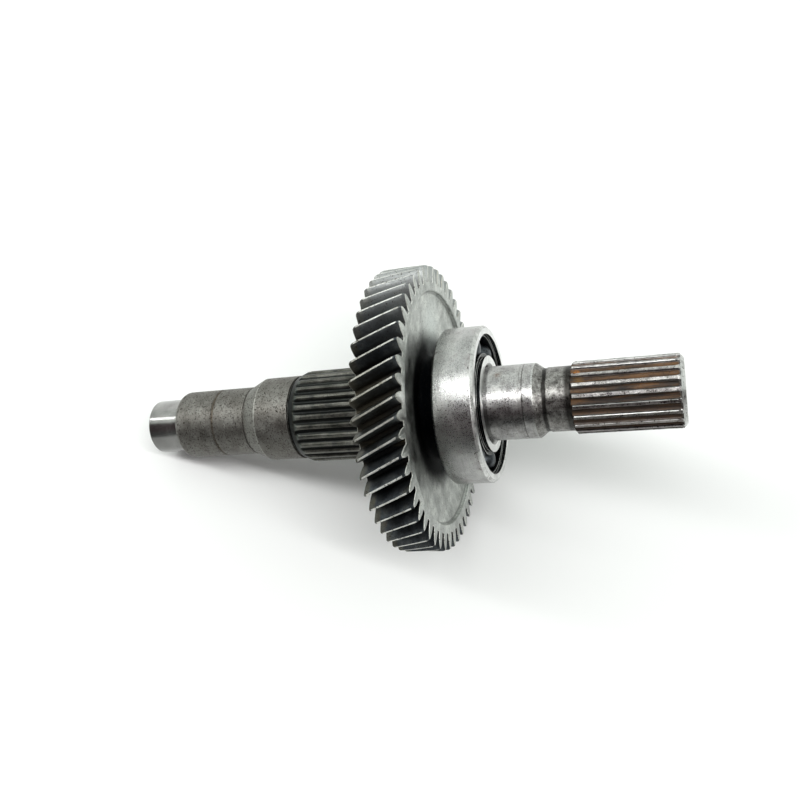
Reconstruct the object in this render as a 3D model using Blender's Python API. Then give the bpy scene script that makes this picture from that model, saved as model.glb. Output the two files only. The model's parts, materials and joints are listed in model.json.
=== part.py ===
# Gearbox output shaft with its helical gear and a ball bearing, lying at rest on a flat surface.
# Metres, +Z up. The shaft's axis rises towards +X: the part lies on the end of its pilot journal and
# on two neighbouring teeth of the gear's left face.

import math

import bmesh
import bpy
from mathutils import Vector

MM = 0.001
FULL_TURN = 2 * math.pi

# Gap left between pieces that touch or are pressed together.
SEAT_GAP = 0.3 * MM

# Gear. Its left face is station 0 of the shaft's axis, and stations grow towards the output end.
GEAR_TEETH = 51
GEAR_TIP_RADIUS = 57.0 * MM
GEAR_ADDENDUM = 2.5 * MM
GEAR_DEDENDUM = 4.7 * MM
GEAR_TIP_LAND = 0.8 * MM
GEAR_WIDTH = 17.6 * MM
GEAR_TIP_CHAMFER = 1.2 * MM
GEAR_PRESSURE_ANGLE = math.radians(20.0)
GEAR_HELIX_ANGLE = math.radians(24.5)
GEAR_RIM_WALL = 3.0 * MM
GEAR_RECESS_WALL = 1.6 * MM
GEAR_DISH = 2.4 * MM
GEAR_RECESS_FILLET = 1.0 * MM
GEAR_HUB_RADIUS = 20.5 * MM
GEAR_HUB_FILLET = 2.0 * MM
GEAR_HUB_LEFT_STAND = 1.5 * MM
GEAR_HUB_RIGHT_STAND = 3.8 * MM
GEAR_BORE_CHAMFER = 0.8 * MM
GEAR_HELIX_STEPS = 2
GEAR_WEB_FACETS = 36

# Shaft, from the gear towards the left end.
GEAR_SEAT_RADIUS = 17.5 * MM
COLLAR_RADIUS = 19.05 * MM
COLLAR_WIDTH = 4.7 * MM
HUB_SPLINE_LENGTH = 36.0 * MM
HUB_SPLINE_TEETH = 28
HUB_SPLINE_RADIUS = 19.05 * MM
HUB_SPLINE_DEPTH = 1.2 * MM
HUB_SPLINE_LAND = 1.6 * MM
HUB_SPLINE_FLOOR = 1.3 * MM
HUB_SPLINE_CHAMFER = 3.8 * MM
HUB_SPLINE_RUNOUT = 2.5 * MM
HUB_SPLINE_TURN = math.radians(-0.3)
RELIEF_WIDTH = 1.3 * MM
RELIEF_DEPTH = 1.0 * MM
BUSH_JOURNAL_RADIUS = 17.55 * MM
BUSH_JOURNAL_LENGTH = 15.2 * MM
BUSH_CONE_LENGTH = 6.5 * MM
SEAL_JOURNAL_RADIUS = 14.4 * MM
SEAL_JOURNAL_LENGTH = 33.5 * MM
SEAL_GROOVE_FROM_CONE = 14.6 * MM
SEAL_GROOVE_WIDTH = 1.2 * MM
SEAL_GROOVE_DEPTH = 0.25 * MM
SEAL_GROOVE_SLOPE = 0.4 * MM
SEAL_SHOULDER_LENGTH = 1.2 * MM
SEAL_SHOULDER_DROP = 0.6 * MM
PILOT_RADIUS = 11.5 * MM
PILOT_LENGTH = 15.4 * MM
PILOT_CHAMFER = 0.5 * MM

# Shaft, from the gear towards the output end.
BEARING_JOURNAL_LENGTH = 34.5 * MM
BEARING_JOURNAL_STEP = 0.1 * MM
JOURNAL_CONE_LENGTH = 3.2 * MM
NECK_RADIUS = 12.5 * MM
NECK_LENGTH = 10.3 * MM
NECK_GROOVE_WIDTH = 1.2 * MM
NECK_GROOVE_DEPTH = 0.3 * MM
OUTPUT_SPLINE_LENGTH = 40.7 * MM
OUTPUT_SPLINE_TEETH = 20
OUTPUT_SPLINE_RADIUS = 13.85 * MM
OUTPUT_SPLINE_DEPTH = 1.2 * MM
OUTPUT_SPLINE_LAND = 1.55 * MM
OUTPUT_SPLINE_FLOOR = 1.4 * MM
OUTPUT_SPLINE_FLOOR_DIP = 0.2 * MM
OUTPUT_SPLINE_START_CHAMFER = 1.5 * MM
OUTPUT_SPLINE_END_CHAMFER = 1.6 * MM
OUTPUT_SPLINE_TURN = math.radians(6.0)
CENTRE_HOLE_RADIUS = 2.6 * MM
CENTRE_PILOT_RADIUS = 1.0 * MM
CENTRE_PILOT_DEPTH = 2.5 * MM
CENTRE_CONE_HALF_ANGLE = math.radians(30.0)
SHAFT_FACETS = 36
CENTRE_FACETS = 16
MERGE_DISTANCE = 0.0001 * MM

# Bearing.
BEARING_BORE_RADIUS = 15.0 * MM
BEARING_WIDTH = 16.0 * MM
BEARING_CHAMFER = 1.0 * MM
BALL_COUNT = 8
BALL_RADIUS = 5.15 * MM
BALL_PLAY = 0.2 * MM
BALL_TURN = math.radians(-56.5)
BALL_SEGMENTS = 12
BALL_RINGS = 6
RACE_WALL = 2.65 * MM
INNER_GROOVE_DEPTH = 2.5 * MM
OUTER_GROOVE_DEPTH = 1.3 * MM
INNER_FACE_DROP = 1.05 * MM
OUTER_FACE_DROP = 0.6 * MM
SEAL_LIP_WIDTH = 0.9 * MM
SEAL_STEP_WIDTH = 0.9 * MM
SEAL_STEP_DEPTH = 0.7 * MM
RING_FACETS = 40
RACE_ARC_STEPS = 3

# Pressed steel cage, in two halves held by rivets.
CAGE_SHEET = 0.8 * MM
CAGE_INNER_GAP = 0.35 * MM
CAGE_OUTER_GAP = 1.55 * MM
CAGE_PLAY = 0.7 * MM
CAGE_SPLIT_GAP = 0.1 * MM
CAGE_POCKET_STEPS = 3
RIVET_RADIUS = 0.8 * MM
RIVET_HEAD_RADIUS = 1.5 * MM
RIVET_HEAD_HEIGHT = 0.7 * MM
RIVET_PLAY = 0.1 * MM
RIVET_FACETS = 8

# Stations along the axis.
HUB_LEFT = -GEAR_HUB_LEFT_STAND
HUB_RIGHT = GEAR_WIDTH + GEAR_HUB_RIGHT_STAND
COLLAR_RIGHT = HUB_LEFT - SEAT_GAP
COLLAR_LEFT = COLLAR_RIGHT - COLLAR_WIDTH
HUB_SPLINE_LEFT = COLLAR_LEFT - HUB_SPLINE_LENGTH
RELIEF_LEFT = HUB_SPLINE_LEFT - RELIEF_WIDTH
BUSH_LEFT = RELIEF_LEFT - BUSH_JOURNAL_LENGTH
CONE_LEFT = BUSH_LEFT - BUSH_CONE_LENGTH
SEAL_LEFT = CONE_LEFT - SEAL_JOURNAL_LENGTH
PILOT_LEFT = SEAL_LEFT - PILOT_LENGTH
BEARING_LEFT = HUB_RIGHT + SEAT_GAP
BEARING_MIDDLE = BEARING_LEFT + BEARING_WIDTH / 2
BEARING_RIGHT = BEARING_LEFT + BEARING_WIDTH
JOURNAL_LEFT = HUB_RIGHT - SEAT_GAP
JOURNAL_RIGHT = BEARING_LEFT + BEARING_JOURNAL_LENGTH
NECK_LEFT = JOURNAL_RIGHT + JOURNAL_CONE_LENGTH
NECK_RIGHT = NECK_LEFT + NECK_LENGTH
OUTPUT_END = NECK_RIGHT + OUTPUT_SPLINE_LENGTH

GEAR_PITCH_RADIUS = GEAR_TIP_RADIUS - GEAR_ADDENDUM
GEAR_ROOT_RADIUS = GEAR_PITCH_RADIUS - GEAR_DEDENDUM
GEAR_BORE_RADIUS = GEAR_SEAT_RADIUS + SEAT_GAP
GEAR_TWIST = math.tan(GEAR_HELIX_ANGLE) / GEAR_PITCH_RADIUS
BEARING_SEAT_RADIUS = BEARING_BORE_RADIUS - SEAT_GAP

# Radii in the bearing, from its bore outwards.
INNER_RACE_RADIUS = BEARING_BORE_RADIUS + RACE_WALL
INNER_SHOULDER_RADIUS = INNER_RACE_RADIUS + INNER_GROOVE_DEPTH
INNER_FACE_RADIUS = INNER_SHOULDER_RADIUS - INNER_FACE_DROP
BALL_PITCH_RADIUS = INNER_RACE_RADIUS + BALL_PLAY + BALL_RADIUS
OUTER_RACE_RADIUS = BALL_PITCH_RADIUS + BALL_RADIUS + BALL_PLAY
OUTER_SHOULDER_RADIUS = OUTER_RACE_RADIUS - OUTER_GROOVE_DEPTH
OUTER_FACE_RADIUS = OUTER_SHOULDER_RADIUS + OUTER_FACE_DROP
BEARING_OUTER_RADIUS = OUTER_RACE_RADIUS + RACE_WALL
CAGE_INNER_RADIUS = INNER_SHOULDER_RADIUS + CAGE_INNER_GAP
CAGE_OUTER_RADIUS = OUTER_SHOULDER_RADIUS - CAGE_OUTER_GAP


def clear_scene():
    for old in list(bpy.data.objects):
        bpy.data.objects.remove(old, do_unlink=True)


def metal(name, colour, roughness, metallic=1.0):
    material = bpy.data.materials.new(name)
    material.use_nodes = True
    shader = material.node_tree.nodes["Principled BSDF"]
    shader.inputs["Base Color"].default_value = (*colour, 1.0)
    shader.inputs["Roughness"].default_value = roughness
    shader.inputs["Metallic"].default_value = metallic
    return material


def place(name, mesh, material, parent, station=0.0, smooth_angle=30.0):
    if not mesh.materials:
        mesh.materials.append(material)
        mesh.shade_smooth()
        mesh.set_sharp_from_angle(angle=math.radians(smooth_angle))
    piece = bpy.data.objects.new(name, mesh)
    bpy.context.collection.objects.link(piece)
    piece.parent = parent
    piece.location.x = station
    return piece


def to_mesh(name, bm):
    bmesh.ops.recalc_face_normals(bm, faces=bm.faces)
    mesh = bpy.data.meshes.new(name)
    bm.to_mesh(mesh)
    bm.free()
    return mesh


def on_axis(station, radius, angle):
    # Angles start straight down and turn right-handed about the shaft's axis, local +X.
    return Vector((station, radius * math.sin(angle), -radius * math.cos(angle)))


def ring(bm, station, radii, angles):
    return [bm.verts.new(on_axis(station, radius, angle)) for radius, angle in zip(radii, angles)]


def round_ring(bm, station, radius, facets):
    angles = [FULL_TURN * index / facets for index in range(facets)]
    return ring(bm, station, [radius] * facets, angles)


def turn_of(vert):
    return math.atan2(vert.co.y, -vert.co.z)


def turn_between(start, vert):
    return math.remainder(turn_of(vert) - start, FULL_TURN)


def skin(bm, first, second):
    # Joins two closed rings. Rings with different numbers of points are zipped with triangles.
    count_a = len(first)
    count_b = len(second)
    if count_a == count_b:
        for index in range(count_a):
            after = (index + 1) % count_a
            bm.faces.new((first[index], first[after], second[after], second[index]))
        return
    start = turn_of(first[0])
    nearest = min(range(count_b), key=lambda index: abs(turn_between(start, second[index])))
    second = second[nearest:] + second[:nearest]
    lead = turn_between(start, second[0])
    turns_a = [(turn_of(vert) - start) % FULL_TURN for vert in first[1:]] + [FULL_TURN]
    turns_b = [(turn_of(vert) - start - lead) % FULL_TURN + lead for vert in second[1:]] + [FULL_TURN + lead]
    step_a = 0
    step_b = 0
    while step_a < count_a or step_b < count_b:
        corner_a = first[step_a % count_a]
        corner_b = second[step_b % count_b]
        if step_b == count_b or (step_a < count_a and turns_a[step_a] <= turns_b[step_b]):
            bm.faces.new((corner_a, first[(step_a + 1) % count_a], corner_b))
            step_a += 1
        else:
            bm.faces.new((corner_a, second[(step_b + 1) % count_b], corner_b))
            step_b += 1


def loft(bm, rings):
    for first, second in zip(rings, rings[1:]):
        skin(bm, first, second)


def close_with_point(bm, last_ring, station):
    tip = bm.verts.new((station, 0.0, 0.0))
    for index, corner in enumerate(last_ring):
        bm.faces.new((corner, last_ring[(index + 1) % len(last_ring)], tip))


def centre_hole(bm, face_station, inward):
    # A centre-drilled hole: a 60 degree cone that ends in a short pilot with a drill point.
    cone_depth = (CENTRE_HOLE_RADIUS - CENTRE_PILOT_RADIUS) / math.tan(CENTRE_CONE_HALF_ANGLE)
    pilot_end = cone_depth + CENTRE_PILOT_DEPTH
    rings = [
        round_ring(bm, face_station, CENTRE_HOLE_RADIUS, CENTRE_FACETS),
        round_ring(bm, face_station + inward * cone_depth, CENTRE_PILOT_RADIUS, CENTRE_FACETS),
        round_ring(bm, face_station + inward * pilot_end, CENTRE_PILOT_RADIUS, CENTRE_FACETS),
    ]
    loft(bm, rings)
    close_with_point(bm, rings[-1], face_station + inward * (pilot_end + CENTRE_PILOT_RADIUS / 2))
    return rings[0]


def spline_outline(teeth, tip_radius, depth, land, floor, floor_dip, turn):
    # One outline of straight-sided teeth. The floor of a groove is flat, or dips in its middle.
    pitch = FULL_TURN / teeth
    half_land = land / 2 / tip_radius
    half_floor = floor / 2 / tip_radius
    tooth_points = [(-half_land, 0.0), (half_land, 0.0), (pitch / 2 - half_floor, depth - floor_dip)]
    if floor_dip > 0:
        tooth_points.append((pitch / 2, depth))
    tooth_points.append((pitch / 2 + half_floor, depth - floor_dip))
    angles = []
    radii = []
    for tooth in range(teeth):
        land_middle = turn + pitch * (tooth + 0.5)
        angles += [land_middle + angle for angle, _ in tooth_points]
        radii += [tip_radius - drop for _, drop in tooth_points]
    return radii, angles


def limited_ring(bm, station, outline, lowest, highest):
    radii = [min(max(radius, lowest), highest) for radius in outline[0]]
    return ring(bm, station, radii, outline[1])


def hub_spline_rings(bm):
    outline = spline_outline(
        HUB_SPLINE_TEETH,
        HUB_SPLINE_RADIUS,
        HUB_SPLINE_DEPTH,
        HUB_SPLINE_LAND,
        HUB_SPLINE_FLOOR,
        0.0,
        HUB_SPLINE_TURN,
    )
    root = HUB_SPLINE_RADIUS - HUB_SPLINE_DEPTH
    chamfer_foot = min(BUSH_JOURNAL_RADIUS, root)
    chamfer_middle = (root + HUB_SPLINE_RADIUS) / 2
    start = HUB_SPLINE_LEFT
    end = COLLAR_LEFT
    return [
        limited_ring(bm, start, outline, chamfer_foot, chamfer_foot),
        limited_ring(bm, start + HUB_SPLINE_CHAMFER / 2, outline, 0.0, chamfer_middle),
        limited_ring(bm, start + HUB_SPLINE_CHAMFER, outline, 0.0, HUB_SPLINE_RADIUS),
        limited_ring(bm, end - HUB_SPLINE_RUNOUT, outline, 0.0, HUB_SPLINE_RADIUS),
        limited_ring(bm, end, outline, HUB_SPLINE_RADIUS, HUB_SPLINE_RADIUS),
    ]


def output_spline_rings(bm):
    outline = spline_outline(
        OUTPUT_SPLINE_TEETH,
        OUTPUT_SPLINE_RADIUS,
        OUTPUT_SPLINE_DEPTH,
        OUTPUT_SPLINE_LAND,
        OUTPUT_SPLINE_FLOOR,
        OUTPUT_SPLINE_FLOOR_DIP,
        OUTPUT_SPLINE_TURN,
    )
    root = OUTPUT_SPLINE_RADIUS - OUTPUT_SPLINE_DEPTH
    chamfer_foot = min(NECK_RADIUS, root)
    chamfer_middle = (root + OUTPUT_SPLINE_RADIUS) / 2
    start = NECK_RIGHT
    end = OUTPUT_END
    return [
        limited_ring(bm, start, outline, chamfer_foot, chamfer_foot),
        limited_ring(bm, start + OUTPUT_SPLINE_START_CHAMFER / 2, outline, 0.0, chamfer_middle),
        limited_ring(bm, start + OUTPUT_SPLINE_START_CHAMFER, outline, 0.0, OUTPUT_SPLINE_RADIUS),
        limited_ring(bm, end - OUTPUT_SPLINE_END_CHAMFER, outline, 0.0, OUTPUT_SPLINE_RADIUS),
        limited_ring(bm, end - OUTPUT_SPLINE_END_CHAMFER / 2, outline, 0.0, chamfer_middle),
        limited_ring(bm, end, outline, chamfer_foot, chamfer_foot),
    ]


def plain_rings(bm, steps):
    return [round_ring(bm, station, radius, SHAFT_FACETS) for station, radius in steps]


def shaft_mesh():
    bm = bmesh.new()
    groove_right = CONE_LEFT - SEAL_GROOVE_FROM_CONE
    groove_left = groove_right - SEAL_GROOVE_WIDTH
    groove_radius = SEAL_JOURNAL_RADIUS - SEAL_GROOVE_DEPTH
    relief_radius = BUSH_JOURNAL_RADIUS - RELIEF_DEPTH
    journal_radius = BEARING_SEAT_RADIUS - BEARING_JOURNAL_STEP
    left_steps = [
        (PILOT_LEFT, PILOT_RADIUS - PILOT_CHAMFER),
        (PILOT_LEFT + PILOT_CHAMFER, PILOT_RADIUS),
        (SEAL_LEFT, PILOT_RADIUS),
        (SEAL_LEFT, SEAL_JOURNAL_RADIUS - SEAL_SHOULDER_DROP),
        (SEAL_LEFT + SEAL_SHOULDER_LENGTH, SEAL_JOURNAL_RADIUS),
        (groove_left, SEAL_JOURNAL_RADIUS),
        (groove_left + SEAL_GROOVE_SLOPE, groove_radius),
        (groove_right - SEAL_GROOVE_SLOPE, groove_radius),
        (groove_right, SEAL_JOURNAL_RADIUS),
        (CONE_LEFT, SEAL_JOURNAL_RADIUS),
        (BUSH_LEFT, BUSH_JOURNAL_RADIUS),
        (RELIEF_LEFT, BUSH_JOURNAL_RADIUS),
        (RELIEF_LEFT, relief_radius),
        (HUB_SPLINE_LEFT, relief_radius),
    ]
    seat_steps = [
        (COLLAR_LEFT, COLLAR_RADIUS),
        (COLLAR_RIGHT, COLLAR_RADIUS),
        (COLLAR_RIGHT, GEAR_SEAT_RADIUS),
        (JOURNAL_LEFT - GEAR_BORE_CHAMFER, GEAR_SEAT_RADIUS),
        (JOURNAL_LEFT, GEAR_SEAT_RADIUS - GEAR_BORE_CHAMFER),
        (JOURNAL_LEFT, BEARING_SEAT_RADIUS),
        (BEARING_RIGHT + SEAT_GAP, BEARING_SEAT_RADIUS),
        (BEARING_RIGHT + 2 * SEAT_GAP, journal_radius),
        (JOURNAL_RIGHT, journal_radius),
        (NECK_LEFT, NECK_RADIUS - NECK_GROOVE_DEPTH),
        (NECK_LEFT + NECK_GROOVE_WIDTH, NECK_RADIUS - NECK_GROOVE_DEPTH),
        (NECK_LEFT + NECK_GROOVE_WIDTH + NECK_GROOVE_DEPTH, NECK_RADIUS),
        (NECK_RIGHT - NECK_GROOVE_DEPTH, NECK_RADIUS),
    ]
    left_hole = centre_hole(bm, PILOT_LEFT, 1.0)
    left_rings = plain_rings(bm, left_steps)
    hub_spline = hub_spline_rings(bm)
    seat_rings = plain_rings(bm, seat_steps)
    output_spline = output_spline_rings(bm)
    right_hole = centre_hole(bm, OUTPUT_END, -1.0)
    loft(bm, [left_hole, *left_rings, *hub_spline, *seat_rings, *output_spline, right_hole])
    return to_mesh("output_shaft", bm)


def involute(cosine):
    angle = math.acos(min(1.0, cosine))
    return math.tan(angle) - angle


def half_tooth_angle(radius):
    # Half the angle that a tooth covers at a radius. Below the base circle its flanks run radially.
    base_radius = GEAR_PITCH_RADIUS * math.cos(GEAR_PRESSURE_ANGLE)
    half_land = GEAR_TIP_LAND / 2 / GEAR_TIP_RADIUS
    return half_land + involute(base_radius / GEAR_TIP_RADIUS) - involute(base_radius / radius)


def gear_outline():
    # The first gap is centred on angle 0, so two teeth stand evenly on the ground.
    pitch = FULL_TURN / GEAR_TEETH
    flank_radii = [GEAR_ROOT_RADIUS, (GEAR_ROOT_RADIUS + GEAR_TIP_RADIUS) / 2, GEAR_TIP_RADIUS]
    radii = []
    angles = []
    for tooth in range(GEAR_TEETH):
        middle = pitch * (tooth + 0.5)
        radii += flank_radii + flank_radii[::-1]
        angles += [middle - half_tooth_angle(radius) for radius in flank_radii]
        angles += [middle + half_tooth_angle(radius) for radius in flank_radii[::-1]]
    return radii, angles


def toothed_rings(bm):
    # A left-hand helix: the teeth turn backwards as the station grows.
    radii, angles = gear_outline()
    stations = [0.0]
    between = GEAR_WIDTH - 2 * GEAR_TIP_CHAMFER
    for step in range(GEAR_HELIX_STEPS + 1):
        stations.append(GEAR_TIP_CHAMFER + between * step / GEAR_HELIX_STEPS)
    stations.append(GEAR_WIDTH)
    rings = []
    for station in stations:
        at_face = station in (0.0, GEAR_WIDTH)
        highest = GEAR_TIP_RADIUS - (GEAR_TIP_CHAMFER if at_face else 0.0)
        turn = -GEAR_TWIST * (station - GEAR_TIP_CHAMFER)
        turned = [angle + turn for angle in angles]
        rings.append(ring(bm, station, [min(radius, highest) for radius in radii], turned))
    return rings


def web_steps(face, inward, hub_face):
    # Half of the gear's section on one side: rim, dished web, hub, and the chamfer of its bore.
    rim_radius = GEAR_ROOT_RADIUS - GEAR_RIM_WALL
    hub_foot = face + inward * (GEAR_RECESS_WALL + GEAR_DISH)
    return [
        (face, rim_radius),
        (face + inward * (GEAR_RECESS_WALL - GEAR_RECESS_FILLET), rim_radius),
        (face + inward * GEAR_RECESS_WALL, rim_radius - GEAR_RECESS_FILLET),
        (hub_foot, GEAR_HUB_RADIUS + GEAR_HUB_FILLET),
        (hub_foot - inward * GEAR_HUB_FILLET, GEAR_HUB_RADIUS),
        (hub_face, GEAR_HUB_RADIUS),
        (hub_face, GEAR_BORE_RADIUS + GEAR_BORE_CHAMFER),
        (hub_face + inward * GEAR_BORE_CHAMFER, GEAR_BORE_RADIUS),
    ]


def gear_mesh():
    bm = bmesh.new()
    teeth = toothed_rings(bm)
    left = [round_ring(bm, *step, GEAR_WEB_FACETS) for step in web_steps(0.0, 1.0, HUB_LEFT)]
    right = [round_ring(bm, *step, GEAR_WEB_FACETS) for step in web_steps(GEAR_WIDTH, -1.0, HUB_RIGHT)]
    loft(bm, [*reversed(left), *teeth, *right, left[-1]])
    return to_mesh("helical_gear", bm)


def spin_profile(name, points, facets, closed):
    # Turns a section, given as station and radius, about the local X axis.
    bm = bmesh.new()
    verts = [bm.verts.new(on_axis(station, radius, 0.0)) for station, radius in points]
    edges = [bm.edges.new(pair) for pair in zip(verts, verts[1:])]
    if closed:
        edges.append(bm.edges.new((verts[-1], verts[0])))
    bmesh.ops.spin(
        bm, geom=verts + edges, cent=(0, 0, 0), axis=(1, 0, 0), angle=FULL_TURN, steps=facets, use_merge=True
    )
    bmesh.ops.remove_doubles(bm, verts=bm.verts, dist=MERGE_DISTANCE)
    return to_mesh(name, bm)


def race_arc(shoulder_radius):
    # The ball groove in section, from its left edge to its right edge, about the ball's centre.
    race_radius = BALL_RADIUS + BALL_PLAY
    rise = shoulder_radius - BALL_PITCH_RADIUS
    half_width = math.sqrt(race_radius ** 2 - rise ** 2)
    start = math.atan2(rise, -half_width)
    sweep = math.atan2(rise, half_width) - start
    middle_radius = race_radius / math.cos(sweep / RACE_ARC_STEPS / 2)
    points = []
    for step in range(RACE_ARC_STEPS + 1):
        angle = start + sweep * step / RACE_ARC_STEPS
        reach = middle_radius if 0 < step < RACE_ARC_STEPS else race_radius
        points.append((reach * math.cos(angle), BALL_PITCH_RADIUS + reach * math.sin(angle)))
    return points


def mirrored(points):
    return [(-station, radius) for station, radius in reversed(points)]


def inner_ring_mesh():
    half = BEARING_WIDTH / 2
    step_floor = INNER_FACE_RADIUS - SEAL_STEP_DEPTH
    shoulder_edge = half - SEAL_LIP_WIDTH - SEAL_STEP_WIDTH
    left = [
        (-half + BEARING_CHAMFER, BEARING_BORE_RADIUS),
        (-half, BEARING_BORE_RADIUS + BEARING_CHAMFER),
        (-half, INNER_FACE_RADIUS),
        (-half + SEAL_LIP_WIDTH, INNER_FACE_RADIUS),
        (-half + SEAL_LIP_WIDTH, step_floor),
        (-shoulder_edge, step_floor),
        (-shoulder_edge, INNER_SHOULDER_RADIUS),
    ]
    section = left + race_arc(INNER_SHOULDER_RADIUS) + mirrored(left)
    return spin_profile("bearing_inner_ring", section, RING_FACETS, True)


def outer_ring_mesh():
    half = BEARING_WIDTH / 2
    step_floor = OUTER_FACE_RADIUS + SEAL_STEP_DEPTH
    shoulder_edge = half - SEAL_LIP_WIDTH - SEAL_STEP_WIDTH
    left = [
        (-half + BEARING_CHAMFER, BEARING_OUTER_RADIUS),
        (-half, BEARING_OUTER_RADIUS - BEARING_CHAMFER),
        (-half, OUTER_FACE_RADIUS),
        (-half + SEAL_LIP_WIDTH, OUTER_FACE_RADIUS),
        (-half + SEAL_LIP_WIDTH, step_floor),
        (-shoulder_edge, step_floor),
        (-shoulder_edge, OUTER_SHOULDER_RADIUS),
    ]
    section = left + race_arc(OUTER_SHOULDER_RADIUS) + mirrored(left)
    return spin_profile("bearing_outer_ring", section, RING_FACETS, True)


def ball_mesh():
    bm = bmesh.new()
    bmesh.ops.create_uvsphere(bm, u_segments=BALL_SEGMENTS, v_segments=BALL_RINGS, radius=BALL_RADIUS)
    return to_mesh("bearing_ball", bm)


def cage_height(radius, angle, pocket_radius, web_height):
    # Height of one face of the pressed sheet above the cage's split plane.
    nearest = round((angle - BALL_TURN) / (FULL_TURN / BALL_COUNT)) * FULL_TURN / BALL_COUNT + BALL_TURN
    across = radius * math.sin(angle - nearest)
    along = radius * math.cos(angle - nearest) - BALL_PITCH_RADIUS
    left_over = pocket_radius ** 2 - across ** 2 - along ** 2
    return max(web_height, math.sqrt(max(left_over, 0.0)))


def cage_mesh(name, side):
    # A pressed sheet ring: flat webs with a rivet hole each, and a rounded pocket over each ball.
    bm = bmesh.new()
    pocket_radius = BALL_RADIUS + CAGE_PLAY
    outer_pocket = pocket_radius + CAGE_SHEET
    web_low = CAGE_SPLIT_GAP / 2
    web_high = web_low + CAGE_SHEET
    foot_reach = math.sqrt(outer_pocket ** 2 - web_high ** 2)
    foot = 2 * math.asin(foot_reach / (2 * BALL_PITCH_RADIUS))
    steps = range(-CAGE_POCKET_STEPS, CAGE_POCKET_STEPS + 1)
    shares = [math.sin(math.pi / 2 * step / CAGE_POCKET_STEPS) for step in steps]
    angles = []
    for ball in range(BALL_COUNT):
        middle = BALL_TURN + FULL_TURN * ball / BALL_COUNT
        angles += [middle + foot * share for share in shares]
    radii = [CAGE_INNER_RADIUS, BALL_PITCH_RADIUS, CAGE_OUTER_RADIUS]
    low_rings = []
    high_rings = []
    for radius in radii:
        low = [cage_height(radius, angle, pocket_radius, web_low) for angle in angles]
        high = [cage_height(radius, angle, outer_pocket, web_high) for angle in angles]
        low_rings.append([bm.verts.new(on_axis(side * h, radius, a)) for h, a in zip(low, angles)])
        high_rings.append([bm.verts.new(on_axis(side * h, radius, a)) for h, a in zip(high, angles)])
    loft(bm, [*low_rings, *reversed(high_rings), low_rings[0]])
    return to_mesh(name, bm)


def rivet_hole_cutter(parent):
    bm = bmesh.new()
    reach = 2 * CAGE_SHEET + CAGE_SPLIT_GAP
    for hole in range(BALL_COUNT):
        angle = BALL_TURN + FULL_TURN * (hole + 0.5) / BALL_COUNT
        made = bmesh.ops.create_cone(
            bm,
            cap_ends=True,
            segments=RIVET_FACETS,
            radius1=RIVET_RADIUS + RIVET_PLAY,
            radius2=RIVET_RADIUS + RIVET_PLAY,
            depth=2 * reach,
        )
        for vert in made["verts"]:
            vert.co = Vector((vert.co.z, vert.co.x, vert.co.y)) + on_axis(0.0, BALL_PITCH_RADIUS, angle)
    cutter = bpy.data.objects.new("rivet_hole_cutter", to_mesh("rivet_hole_cutter", bm))
    bpy.context.collection.objects.link(cutter)
    cutter.parent = parent
    cutter.location.x = BEARING_MIDDLE
    cutter.hide_render = True
    cutter.display_type = "WIRE"
    return cutter


def rivet_mesh():
    # A rivet with a round head at each end, clear of both sheets.
    seat = CAGE_SPLIT_GAP / 2 + CAGE_SHEET + RIVET_PLAY
    half_way = math.sqrt(0.5)
    left = [
        (-seat - RIVET_HEAD_HEIGHT, 0.0),
        (-seat - RIVET_HEAD_HEIGHT * half_way, RIVET_HEAD_RADIUS * half_way),
        (-seat, RIVET_HEAD_RADIUS),
        (-seat, RIVET_RADIUS),
    ]
    return spin_profile("cage_rivet", left + mirrored(left), RIVET_FACETS, False)


def rest_tilt():
    # Slope of the axis when the pilot's end and two teeth of the left face stand on the ground.
    half_gap = FULL_TURN / GEAR_TEETH / 2 - GEAR_TIP_LAND / 2 / GEAR_TIP_RADIUS
    rise = GEAR_TIP_RADIUS * math.cos(half_gap) - PILOT_RADIUS
    return math.atan2(rise, GEAR_TIP_CHAMFER - PILOT_LEFT - PILOT_CHAMFER)


def stand_on_origin(axis):
    # Moves the whole part so that the centre of its box's bottom is at the origin.
    bpy.context.view_layer.update()
    corners = [
        piece.matrix_world @ vert.co
        for piece in bpy.data.objects
        if piece.type == "MESH" and not piece.hide_render
        for vert in piece.data.vertices
    ]
    low = [min(corner[index] for corner in corners) for index in range(3)]
    high = [max(corner[index] for corner in corners) for index in range(3)]
    axis.location = (-(low[0] + high[0]) / 2, -(low[1] + high[1]) / 2, -low[2])


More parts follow.
